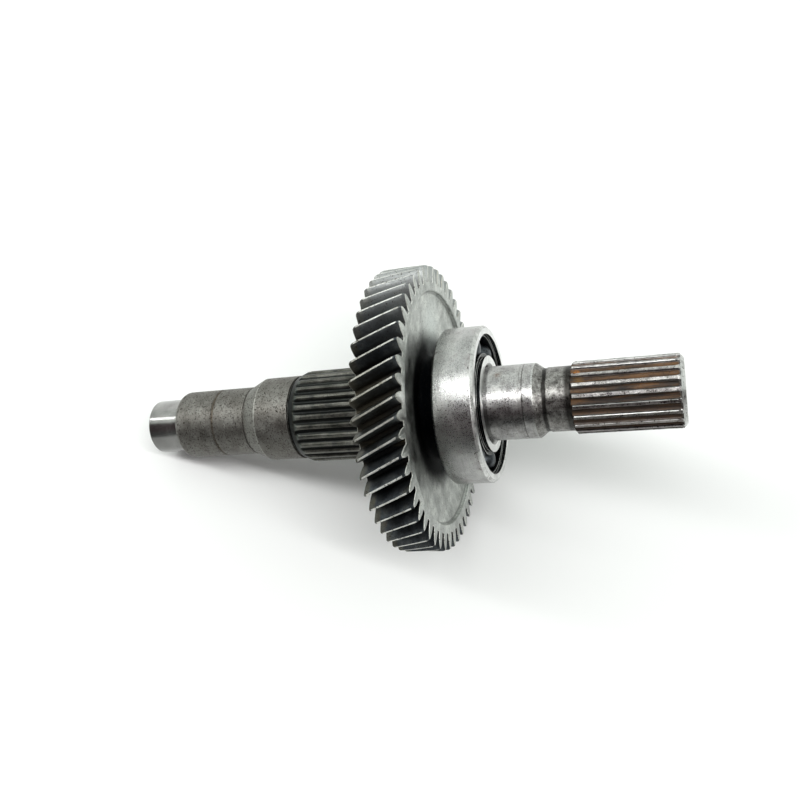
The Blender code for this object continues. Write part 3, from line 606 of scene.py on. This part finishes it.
# The shaft. Places are stations along it, and radii, in mm.
shaft = {
    "segments": 280,
    "pilotEnd": -114.4, "pilotRadius": 11.5, "pilotChamfer": 0.5,
    "sealStart": -99.0, "sealRadius": 14.4, "sealChamfer": 0.6, "sealChamferLength": 1.2,
    "coneStart": -65.5, "coneEnd": -59.0, "bushRadius": 17.55,
    "reliefStart": -43.8, "reliefRadius": 16.55,
    "hubSplineStart": -42.5, "hubSplineEnd": -6.5, "collarEnd": -1.8,
    "gearSeatRadius": 17.5, "gearSeatEnd": 21.1, "gearSeatChamfer": 0.8,
    "seatRadius": 14.7, "seatEnd": 38.0, "journalRadius": 14.6, "journalEnd": 56.2,
    "neckStart": 59.4, "neckRadius": 12.5, "undercut": 0.3, "undercutEnd": 1.2, "neckFull": 1.5,
    "outputSplineStart": 69.7, "outputEnd": 110.4,
    "centreRadius": 2.6, "centrePilotRadius": 1.0, "centreCone": 2.77, "centrePilot": 2.5,
    # fine lines cut into the journals: distances from their station, with the depth there
    "grooveAt": -80.7,
    "sealGroove": [
        (-0.75, 0.0), (-0.6, 0.22), (-0.4, 0.22), (-0.25, 0.05), (0.1, 0.05), (0.25, 0.18), (0.4, 0.18),
        (0.55, 0.0),
    ],
    "coneRelief": [(-0.6, 0.0), (-0.45, 0.15), (-0.1, 0.15)],
    "journalLine": [(-4.2, 0.0), (-4.0, 0.05), (-3.8, 0.0)],
}
hubSpline = {
    "teeth": 28, "tip": 19.05, "depth": 1.25, "land": 1.6, "corner": 0.2,
    "turn": math.radians(-0.3), "firstIndex": 3, "floorPower": 3.0,
    "chamferFoot": 17.5, "runout": 2.5, "runoutShares": (0.0, 0.25, 0.5, 0.75, 1.0),
    "chamfer": 3.8,
    # share of the start cone's length, and of the groove's depth there
    "start": [(0.0, 0.0), (0.3, 0.0), (0.5, 0.5), (0.6, 0.75), (0.78, 0.93), (1.0, 1.0)],
}
outputSpline = {
    "teeth": 20, "tip": 13.85, "depth": 1.25, "land": 1.45, "corner": 0.2,
    "edgeHighlightDepths": (0.06, 0.18),  # how far under the tips the painted highlight along the lands' edges lies
    "turn": math.radians(6.8), "firstIndex": 9, "floorPower": 4.0,
    "chamfer": 1.0, "chamferFoot": 12.5, "chamferShares": (0.0, 0.12, 0.25, 0.4, 0.6, 0.8, 1.0),
    "endConeAt": 108.8, "endFoot": 12.1,
    # stations of the end, with the share of the groove's depth there
    "end": [
        (106.9, 1.0), (107.5, 0.94), (108.0, 0.84), (108.4, 0.7), (108.8, 0.5), (109.1, 0.32), (109.5, 0.12),
        (109.8, 0.0),
    ],
}


def plainRing(station, radius):
    return lambda index: onAxis(station, radius, fullTurn * index / shaft["segments"])


def splineRing(spline, station, limit, depthShare=1.0):
    # one section of a spline: four points on each land, the rest round the groove
    perTooth = shaft["segments"] // spline["teeth"]
    pitch = fullTurn / spline["teeth"]
    halfLand = spline["land"] / 2 / spline["tip"]
    corner = spline["corner"] / spline["tip"]
    landPoints = [
        (-halfLand, spline["corner"]), (corner - halfLand, 0.0),
        (halfLand - corner, 0.0), (halfLand, spline["corner"]),
    ]

    def place(index):
        tooth, point = divmod(index - spline["firstIndex"], perTooth)
        middle = spline["turn"] + pitch * (tooth + 0.5)
        if point < len(landPoints):
            turn, drop = landPoints[point]
        else:
            share = (point - len(landPoints) + 1) / (perTooth - len(landPoints) + 1)
            turn = halfLand + (pitch - 2 * halfLand) * share
            drop = spline["depth"] * (1 - abs(2 * share - 1) ** spline["floorPower"])
        # a shallower groove is a narrower one
        drop = max(drop - spline["depth"] * (1 - depthShare), 0.0)
        return onAxis(station, min(spline["tip"] - drop, limit), middle + turn)

    return place


def shaftRings():
    # the shaft's sections from left to right, each with the rounding of its edge
    s = shaft
    hub = hubSpline
    out = outputSpline
    rings = []

    def turned(corners):
        # plain sections, from their station, radius and rounding
        rings.extend((plainRing(station, radius), rounding) for station, radius, rounding in corners)

    def cut(line, station, radius):
        turned((station + offset, radius - drop, 0) for offset, drop in line)

    leftHole = s["pilotEnd"] + s["centreCone"]
    turned([
        (leftHole + s["centrePilot"], s["centrePilotRadius"], 0),
        (leftHole, s["centrePilotRadius"], 0),
        (s["pilotEnd"], s["centreRadius"], 0.15),
        (s["pilotEnd"], s["pilotRadius"] - s["pilotChamfer"], 0.15),
        (s["pilotEnd"] + s["pilotChamfer"], s["pilotRadius"], 0.15),
        (s["sealStart"], s["pilotRadius"], 0.5),
        (s["sealStart"], s["sealRadius"] - s["sealChamfer"], 0.2),
        (s["sealStart"] + s["sealChamferLength"], s["sealRadius"], 0.3),
    ])
    cut(s["sealGroove"], s["grooveAt"], s["sealRadius"])
    cut(s["coneRelief"], s["coneStart"], s["sealRadius"])
    turned([
        (s["coneStart"], s["sealRadius"], 0.1),
        (s["coneEnd"], s["bushRadius"], 0.3),
        (s["reliefStart"], s["bushRadius"], 0.2),
        (s["reliefStart"], s["reliefRadius"], 0.2),
        (s["hubSplineStart"], s["reliefRadius"], 0.2),
    ])
    rise = hub["tip"] - hub["chamferFoot"]
    for share, depthShare in hub["start"]:
        limit = hub["chamferFoot"] + rise * share
        station = s["hubSplineStart"] + hub["chamfer"] * share
        rings.append((splineRing(hub, station, limit, depthShare), 0))
    for share in hub["runoutShares"]:
        station = s["hubSplineEnd"] - hub["runout"] * (1 - share)
        rings.append((splineRing(hub, station, hub["tip"], 1 - share ** 2), 0))
    turned([
        (s["hubSplineEnd"] + 0.3, hub["tip"], 0),
        (s["collarEnd"], hub["tip"], 0.3),
        (s["collarEnd"], s["gearSeatRadius"], 0),
        (s["gearSeatEnd"] - s["gearSeatChamfer"], s["gearSeatRadius"], 0),
        (s["gearSeatEnd"], s["gearSeatRadius"] - s["gearSeatChamfer"], 0),
        (s["gearSeatEnd"], s["seatRadius"], 0),
        (s["seatEnd"], s["seatRadius"], 0),
        (s["seatEnd"] + 0.3, s["journalRadius"], 0),
    ])
    cut(s["journalLine"], s["journalEnd"], s["journalRadius"])
    turned([
        (s["journalEnd"], s["journalRadius"], 0.3),
        (s["neckStart"], s["neckRadius"] - s["undercut"], 0.3),
        (s["neckStart"] + s["undercutEnd"], s["neckRadius"] - s["undercut"], 0),
        (s["neckStart"] + s["neckFull"], s["neckRadius"], 0.1),
        (s["outputSplineStart"] - 0.6, s["neckRadius"], 0),
    ])
    rise = out["tip"] - out["chamferFoot"]
    for share in out["chamferShares"]:
        limit = out["chamferFoot"] + rise * share
        station = s["outputSplineStart"] + out["chamfer"] * share
        rings.append((splineRing(out, station, limit), 0))
    coneAt = out["endConeAt"]
    slope = (out["tip"] - out["endFoot"]) / (s["outputEnd"] - coneAt)
    for station, depthShare in out["end"]:
        limit = out["tip"] - max(station - coneAt, 0.0) * slope
        rings.append((splineRing(out, station, limit, depthShare), 0))
    rightHole = s["outputEnd"] - s["centreCone"]
    turned([
        (s["outputEnd"] - 0.2, out["endFoot"] + 0.2 * slope, 0),
        (s["outputEnd"], out["endFoot"], 0),
        (s["outputEnd"], s["centreRadius"], 0.15),
        (rightHole, s["centrePilotRadius"], 0),
        (rightHole - s["centrePilot"], s["centrePilotRadius"], 0),
    ])
    return rings


def shaftSurface(face, station, radius):
    s = shaft
    if station < s["sealStart"] - 0.3:
        return "polishedPilot"
    if station < s["reliefStart"] + 0.1:
        return "groundJournal"
    if station < s["collarEnd"]:
        return "oiledSpline"
    if station < s["journalEnd"]:
        return "brightJournal"
    if station < s["outputSplineStart"] + 0.4:
        return "mottledNeck"
    # the spline's end and the edges of its lands carry the painted highlight
    if station > outputSpline["endConeAt"] + 0.3:
        return "rubbedEdge"
    shallow, deep = outputSpline["edgeHighlightDepths"]
    return "rubbedEdge" if shallow < outputSpline["tip"] - radius < deep else "rustySpline"


def makeShaft():
    bm = bmesh.new()
    rings = shaftRings()
    edges = startRing(bm, shaft["segments"], rings[0][0])
    soft = []
    for place, rounding in rings[1:]:
        edges = nextRing(bm, edges, place)
        if rounding:
            soft.append((edges, rounding))
    bmesh.ops.edgeloop_fill(bm, edges=edges)
    for ring, rounding in soft:
        roundEdges(bm, [edge for edge in ring if edge.is_valid], rounding)
    names = [
        "polishedPilot", "groundJournal", "oiledSpline", "brightJournal", "mottledNeck", "rustySpline",
        "rubbedEdge",
    ]
    finishPiece("outputShaft", bm, "shaft", ["output_shaft"], names, shaftSurface)


makeShaft()
print("shaft made")


# The gear, with a left-hand helix. Sizes in mm.
gear = {
    "teeth": 51, "tip": 57.0, "pitch": 54.5, "root": 50.2, "land": 0.7, "width": 17.6,
    "pressureAngle": math.radians(20.0), "helixAngle": math.radians(24.5), "helixSteps": 8,
    # distance from each side, and how far the tooth is cut down there
    "ends": [(0.0, 0.8), (0.22, 0.52), (0.6, 0.28), (1.2, 0.06), (1.5, 0.0)],
    "edgeChamfer": 0.22, "landCorner": 0.07, "landDrop": 0.12, "rootDrop": 0.4, "faceDepth": 0.01,
    # the curve at the root, by its share of half the gap and its rise, then the flank's radii
    "rootCurve": [(0.5, 0.02), (0.85, 0.22)], "flankRadii": (50.6, 52.2, 53.8, 55.4),
    "rimRadius": 46.8, "recess": 1.6, "dish": 2.4, "fillet": 1.0,
    "twistFrom": 1.2, "hubRadius": 20.5, "hubFillet": 2.0, "hubLeft": -1.5, "hubRight": 21.4,
    "boreRadius": 17.8, "boreChamfer": 0.8, "cornerChamfer": 0.3,
}


def involute(cosine):
    angle = math.acos(min(1.0, cosine))
    return math.tan(angle) - angle


def halfTooth(radius):
    # half the angle that a tooth covers at a radius; below the base circle its flanks run radially
    base = gear["pitch"] * math.cos(gear["pressureAngle"])
    return gear["land"] / 2 / gear["tip"] + involute(base / gear["tip"]) - involute(base / radius)


def halfToothPoints():
    # from the middle of a gap to the middle of a land: angle before the tooth's middle, and radius
    g = gear
    halfPitch = fullTurn / g["teeth"] / 2
    halfGap = halfPitch - halfTooth(g["root"])
    points = [(halfPitch, g["root"])]
    for share, rise in g["rootCurve"]:
        points.append((halfPitch - halfGap * share, g["root"] + rise))
    for radius in (*g["flankRadii"], g["tip"] - g["landCorner"]):
        points.append((halfTooth(radius), radius))
    points.append((g["land"] / 2 / g["tip"] - g["landCorner"] / g["tip"], g["tip"]))
    return points


toothPoints = halfToothPoints()
perTooth = 2 * len(toothPoints) - 1  # the middle of a gap is shared
gear["segments"] = gear["teeth"] * perTooth


def toothedRing(station, inset, limit):
    # one section of the teeth, turned along the helix and drawn in by inset
    twist = -math.tan(gear["helixAngle"]) / gear["pitch"] * (station - gear["twistFrom"])

    def place(index):
        tooth, point = divmod(index, perTooth)
        side = -1
        if point >= len(toothPoints):
            point = perTooth - point
            side = 1
        angle, radius = toothPoints[point]
        middle = fullTurn / gear["teeth"] * (tooth + 0.5)
        if 0 < point:
            angle = max(angle - inset / radius, 0.0)
        radius = min(radius - inset, limit)
        return onAxis(station, radius, middle + side * angle + twist)

    return place


def webRing(station, radius, turn):
    return lambda index: onAxis(station, radius, fullTurn * index / gear["segments"] + turn)


def webPoints(face, inward, hubFace):
    # half of the gear's section on one side, from the rim to the bore
    g = gear
    foot = face + inward * (g["recess"] + g["dish"])
    points = [
        (face, g["rimRadius"] + g["cornerChamfer"]),
        (face + inward * g["cornerChamfer"], g["rimRadius"]),
        (face + inward * (g["recess"] - g["fillet"]), g["rimRadius"]),
    ]
    for angle in (30, 60, 90):
        turn = math.radians(angle)
        points.append((
            face + inward * (g["recess"] - g["fillet"] * (1 - math.sin(turn))),
            g["rimRadius"] - g["fillet"] * (1 - math.cos(turn)),
        ))
    for angle in (0, 30, 60, 90):
        turn = math.radians(angle)
        points.append((
            foot - inward * g["hubFillet"] * (1 - math.cos(turn)),
            g["hubRadius"] + g["hubFillet"] * (1 - math.sin(turn)),
        ))
    points += [
        (hubFace + inward * g["cornerChamfer"], g["hubRadius"]),
        (hubFace, g["hubRadius"] - g["cornerChamfer"]),
        (hubFace, g["boreRadius"] + g["boreChamfer"]),
        (hubFace + inward * g["boreChamfer"], g["boreRadius"]),
    ]
    return points


def gearSurface(face, station, radius):
    g = gear
    nearEnd = min(station, g["width"] - station)
    flat = abs(face.normal.x) > flatNormal
    if radius < g["root"] - g["rootDrop"] or (nearEnd < g["faceDepth"] and flat):
        return "gearFace"
    if nearEnd < g["edgeChamfer"] or radius > g["tip"] - g["landDrop"]:
        return "gearLand"
    return "gearFlank"


def makeGear():
    g = gear
    bm = bmesh.new()
    endTurn = -math.tan(g["helixAngle"]) / g["pitch"] * g["width"]
    left = webPoints(0.0, 1.0, g["hubLeft"])
    right = webPoints(g["width"], -1.0, g["hubRight"])
    rings = [webRing(station, radius, 0.0) for station, radius in reversed(left)]
    endLength = g["ends"][-1][0]
    body = g["width"] - 2 * endLength
    sections = list(g["ends"])
    sections += [(endLength + body * step / g["helixSteps"], 0.0) for step in range(1, g["helixSteps"])]
    sections += [(g["width"] - station, cut) for station, cut in reversed(g["ends"])]
    for station, cut in sections:
        atSide = min(station, g["width"] - station) < g["faceDepth"]
        rings.append(toothedRing(station, g["edgeChamfer"] if atSide else 0.0, g["tip"] - cut))
    rings += [webRing(station, radius, endTurn) for station, radius in right]
    edges = startRing(bm, g["segments"], rings[0])
    bmesh.ops.delete(bm, geom=list(bm.faces), context="FACES_ONLY")
    for place in rings[1:] + [rings[0]]:
        edges = nextRing(bm, edges, place)
    finishPiece(
        "helicalGear", bm, "shaft", ["helical_gear"], ["gearFlank", "gearLand", "gearFace"],
        gearSurface,
    )


makeGear()
print("gear made")


# The bearing. Sizes in mm, stations from its middle.
bearing = {
    "segments": 192, "half": 8.0, "chamfer": 1.0, "rounding": 0.12,
    "bore": 15.0, "outer": 31.0, "ball": 5.15, "pitch": 23.0, "play": 0.12,
    "balls": 8, "ballTurn": math.radians(-56.5), "ballSegments": 40, "ballRows": 20,
    "innerShoulder": 20.15, "innerFace": 19.1, "outerShoulder": 27.05, "outerFace": 27.65,
    "lip": 0.9, "step": 0.9, "stepDepth": 0.7, "raceSteps": 12,
    # how near to an edge or a face the surfaces change, and the normals of a rounded edge
    "faceDepth": 0.16, "backDepth": 0.3, "faceDrop": 0.05, "seatDrop": 0.2, "cornerDepth": 0.1,
    "rounded": (0.15, 0.985),
}


def racePoints(shoulder):
    # the ball groove, from its left edge to its right edge
    b = bearing
    race = b["ball"] + b["play"]
    rise = shoulder - b["pitch"]
    halfWidth = math.sqrt(race ** 2 - rise ** 2)
    start = math.atan2(rise, -halfWidth)
    sweep = math.atan2(rise, halfWidth) - start
    turns = [start + sweep * step / b["raceSteps"] for step in range(b["raceSteps"] + 1)]
    return [(race * math.cos(turn), b["pitch"] + race * math.sin(turn)) for turn in turns]


def ringSection(back, face, shoulder, outward):
    # half a ring's section, from its seat to its ball groove; outward is 1 where the seat is outside
    b = bearing
    floor = face + outward * b["stepDepth"]
    return [
        (b["chamfer"] - b["half"], back),
        (-b["half"], back - outward * b["chamfer"]),
        (-b["half"], face),
        (b["lip"] - b["half"], face),
        (b["lip"] - b["half"], floor),
        (b["lip"] + b["step"] - b["half"], floor),
        (b["lip"] + b["step"] - b["half"], shoulder),
    ]


def spinSection(bm, points, segments, closed=True):
    verts = [bm.verts.new(onAxis(station, radius, 0.0)) for station, radius in points]
    edges = [bm.edges.new(pair) for pair in zip(verts, verts[1:])]
    if closed:
        edges.append(bm.edges.new((verts[-1], verts[0])))
    bmesh.ops.spin(
        bm, geom=verts + edges, cent=(0, 0, 0), axis=(1, 0, 0), angle=fullTurn, steps=segments,
        use_merge=True,
    )
    bmesh.ops.remove_doubles(bm, verts=bm.verts, dist=0.001 * mm)
    bmesh.ops.recalc_face_normals(bm, faces=bm.faces)


def roundSharpEdges(bm, rounding, angle=25):
    inside = [edge for edge in bm.edges if len(edge.link_faces) == 2]
    roundEdges(bm, [edge for edge in inside if edge.calc_face_angle() > math.radians(angle)], rounding)


def makeRing(name, node, back, face, shoulder, outward, body):
    b = bearing
    left = ringSection(back, face, shoulder, outward)
    right = [(-station, radius) for station, radius in reversed(left)]
    bm = bmesh.new()
    spinSection(bm, left + racePoints(shoulder) + right, b["segments"])
    roundSharpEdges(bm, b["rounding"])
    bmesh.ops.translate(bm, verts=bm.verts, vec=(bearingMiddle * mm, 0, 0))

    def surface(meshFace, station, radius):
        away = station - bearingMiddle
        across = abs(meshFace.normal.x)
        shallow, deep = b["rounded"]
        rounded = shallow < across < deep
        seatSide = (radius - back) * outward > -b["chamfer"] - b["seatDrop"]
        atCorner = away > b["half"] - b["chamfer"] - b["cornerDepth"]
        # the rounded edge of the outer ring's chamfer carries the painted highlight
        if outward > 0 and rounded and atCorner and seatSide:
            return "rubbedEdge"
        # the rings' sides towards the gear carry the painted shade
        if away < b["backDepth"] - b["half"] and across > flatNormal:
            return "ringInside"
        inLip = abs(away) > b["half"] - b["lip"] - b["step"] - b["faceDepth"]
        # so do the rounded edges of the lips
        if rounded and inLip and not seatSide:
            return "rubbedEdge"
        outside = (radius - face) * outward > -b["faceDrop"]
        # the sides towards the splined end carry the painted reflection
        if away > b["half"] - b["faceDepth"] and outside and not seatSide:
            return "ringFace"
        # other surfaces away from the seat, inside the bearing, carry the painted shade
        return "ringGround" if seatSide else "ringInside"

    names = ["ringGround", "ringInside", "ringFace", "rubbedEdge"]
    finishPiece(name, bm, body, [node], names, surface)


for name, node, sizes, outward, body in (
    ("outerRing", "bearing_outer_ring", ("outer", "outerFace", "outerShoulder"), 1, "outer_ring"),
    ("innerRing", "bearing_inner_ring", ("bore", "innerFace", "innerShoulder"), -1, "shaft"),
):
    makeRing(name, node, *[bearing[size] for size in sizes], outward, body)
print("rings made")


# The cage: two pressed halves and the rivets between their pockets. Sizes in mm.
cage = {
    "inner": 20.5, "outer": 25.5, "sheet": 0.8, "play": 0.35, "splitGap": 0.1, "rounding": 0.15,
    "flare": 0.6, "flareRise": 0.5,
    "columns": 24, "rows": 8,
    "rivetHead": 1.5, "rivetHeight": 0.7, "rivetSegments": 32, "rivetRows": 12, "rivetGap": 0.02,
}


def pocketHeight(radius, angle):
    # height of the sheet's inner side over the split plane: a flat web that swells over each ball
    b = bearing
    step = fullTurn / b["balls"]
    nearest = round((angle - b["ballTurn"]) / step) * step + b["ballTurn"]
    across = radius * math.sin(angle - nearest)
    along = radius * math.cos(angle - nearest) - b["pitch"]
    pocket = b["ball"] + cage["play"]
    distance = math.hypot(across, along)
    web = cage["splitGap"] / 2
    if distance < pocket:
        return max(math.sqrt(pocket ** 2 - distance ** 2), web)
    foot = max(pocket + cage["flare"] - distance, 0.0)
    return web + foot ** 2 * cage["flareRise"]


def makeCageHalf(name, node, side):
    b = bearing
    bm = bmesh.new()
    rows = cage["rows"]
    radii = [cage["inner"] + (cage["outer"] - cage["inner"]) * row / rows for row in range(rows + 1)]
    spinSection(bm, [(0.0, radius) for radius in radii], b["balls"] * cage["columns"], closed=False)
    for vert in bm.verts:
        radius = math.hypot(vert.co.y, vert.co.z) / mm
        vert.co.x = side * pocketHeight(radius, angleOf(vert)) * mm
    for face in bm.faces:
        face.normal_update()
        if face.normal.x * side < 0:
            face.normal_flip()
    bmesh.ops.solidify(bm, geom=list(bm.faces), thickness=-cage["sheet"] * mm)
    roundSharpEdges(bm, cage["rounding"], 60)
    bmesh.ops.translate(bm, verts=bm.verts, vec=(bearingMiddle * mm, 0, 0))
    finishPiece(name, bm, "cage", [node], ["cage"], sharp=40)


makeCageHalf("cageHalfLeft", "cage_half_left", -1)
makeCageHalf("cageHalfRight", "cage_half_right", 1)


def makeBall(index):
    b = bearing
    bm = bmesh.new()
    bmesh.ops.create_uvsphere(
        bm, u_segments=b["ballSegments"], v_segments=b["ballRows"], radius=b["ball"] * mm
    )
    angle = b["ballTurn"] + fullTurn * index / b["balls"]
    bmesh.ops.translate(bm, verts=bm.verts, vec=onAxis(bearingMiddle, b["pitch"], angle))
    finishPiece(
        f"ball{index + 1}", bm, f"ball_{index + 1}", [f"bearing_ball_{index + 1}"],
        ["ball"], sharp=60,
    )


def makeRivet(index):
    b = bearing
    seat = cage["splitGap"] / 2 + cage["sheet"] + cage["rivetGap"]
    headSize = (cage["rivetHeight"] * mm, cage["rivetHead"] * mm, cage["rivetHead"] * mm)
    bm = bmesh.new()
    bmesh.ops.create_uvsphere(
        bm, u_segments=cage["rivetSegments"], v_segments=cage["rivetRows"], radius=1.0
    )
    bmesh.ops.rotate(bm, verts=bm.verts, cent=(0, 0, 0), matrix=Matrix.Rotation(math.pi / 2, 3, "Y"))
    bmesh.ops.scale(bm, verts=bm.verts, vec=headSize)
    for vert in bm.verts:
        vert.co.x += math.copysign(seat * mm, vert.co.x) if abs(vert.co.x) > 0.001 * mm else 0.0
    angle = b["ballTurn"] + fullTurn * (index + 0.5) / b["balls"]
    bmesh.ops.translate(bm, verts=bm.verts, vec=onAxis(bearingMiddle, b["pitch"], angle))
    finishPiece(
        f"rivet{index + 1}", bm, "cage", [f"cage_rivet_{index + 1}"], ["cage"], sharp=50,
    )


for number in range(bearing["balls"]):
    makeBall(number)
    makeRivet(number)
print("cage, balls and rivets made")


# Floor, light and camera
studio = {
    # the sky by its angle from overhead, as shares of the way from the near wall, which is dim and
    # a little warm, to the far one, which is a bright window
    "sky": [
        (0.0, "#5a5d5b"), (0.1, "#5e5e5d"), (0.18, "#5c5455"), (0.3, "#574e50"), (0.47, "#625c5c"),
        (0.53, "#eef6f0"), (0.7, "#f9fffb"), (1.0, "#f3faf5"),
    ],
    "lampMiddle": (-1.5, 0.408, 1.2), "lampTurn": -16.0,
    "lampLength": 5.2, "lampWidth": 0.1, "lampPower": 29.0,
    "floorColour": "#f4f5f4", "floorRough": 0.7, "floorHalf": 2.0,
    # light that only the camera sees on the floor: hardly any near the part, where its shadow lies
    "floorGlow": 0.05, "farGlow": 1.0, "glowFrom": 0.3, "glowTo": 1.3,
    "cameraPlace": (-0.00727, -0.10419, 0.38379), "cameraTurn": (18.057, -2.064, 2.146),
    "lens": 38.25, "sensor": 36.0, "nearest": 0.01,
}


def floorMaterial():
    material = bpy.data.materials.new("white painted board")
    material.use_nodes = True
    tree = material.node_tree
    shader = tree.nodes["Principled BSDF"]
    shader.inputs["Roughness"].default_value = studio["floorRough"]
    shader.inputs["Base Color"].default_value = linear(studio["floorColour"])
    shader.inputs["Emission Color"].default_value = (1, 1, 1, 1)
    place = add(tree, "TexCoord").outputs["Object"]
    away = add(tree, "VectorMath", {0: place}, operation="LENGTH").outputs["Value"]
    glow = add(tree, "MapRange", {
        "Value": away, "From Min": studio["glowFrom"], "From Max": studio["glowTo"],
        "To Min": studio["floorGlow"], "To Max": studio["farGlow"],
    }).outputs["Result"]
    seen = add(tree, "LightPath").outputs["Is Camera Ray"]
    glow = add(tree, "Math", {0: seen, 1: glow}, operation="MULTIPLY").outputs["Value"]
    tree.links.new(glow, shader.inputs["Emission Strength"])
    return material


def makeFloor():
    bm = bmesh.new()
    bmesh.ops.create_grid(bm, x_segments=1, y_segments=1, size=studio["floorHalf"])
    mesh = bpy.data.meshes.new("floor")
    bm.to_mesh(mesh)
    bm.free()
    mesh.materials.append(floorMaterial())
    floor = bpy.data.objects.new("floor", mesh)
    bpy.context.scene.collection.objects.link(floor)


def makeSky():
    world = bpy.data.worlds.new("studio")
    bpy.context.scene.world = world
    world.use_nodes = True
    tree = world.node_tree
    way = add(tree, "TexCoord").outputs["Generated"]
    parts = add(tree, "SeparateXYZ", {0: way})
    angle = add(tree, "Math", {
        0: parts.outputs["Y"], 1: parts.outputs["Z"],
    }, operation="ARCTAN2").outputs["Value"]
    share = add(tree, "MapRange", {
        "Value": angle, "From Min": -math.pi / 2, "From Max": math.pi / 2,
    }).outputs["Result"]
    glow = add(tree, "ValToRGB", {"Fac": share}, stops=studio["sky"]).outputs["Color"]
    seen = add(tree, "LightPath").outputs["Is Camera Ray"]
    shown = add(tree, "Mix", {0: seen, 6: glow, 7: (1, 1, 1, 1)}, data_type="RGBA").outputs[2]
    tree.links.new(shown, tree.nodes["Background"].inputs["Color"])


def makeStudio():
    scene = bpy.context.scene
    lamp = bpy.data.lights.new("tube", "AREA")
    lamp.shape = "RECTANGLE"
    lamp.size = studio["lampLength"]
    lamp.size_y = studio["lampWidth"]
    lamp.energy = studio["lampPower"]
    holder = bpy.data.objects.new("tube", lamp)
    holder.location = studio["lampMiddle"]
    holder.rotation_euler = (0, 0, math.radians(studio["lampTurn"]))
    scene.collection.objects.link(holder)
    lens = bpy.data.cameras.new("camera")
    lens.lens = studio["lens"]
    lens.sensor_width = studio["sensor"]
    lens.clip_start = studio["nearest"]
    camera = bpy.data.objects.new("camera", lens)
    camera.location = studio["cameraPlace"]
    camera.rotation_euler = [math.radians(angle) for angle in studio["cameraTurn"]]
    scene.collection.objects.link(camera)
    scene.camera = camera
    scene.view_settings.view_transform = "Standard"


makeSky()
makeFloor()
makeStudio()
print("floor, lamp and camera made")
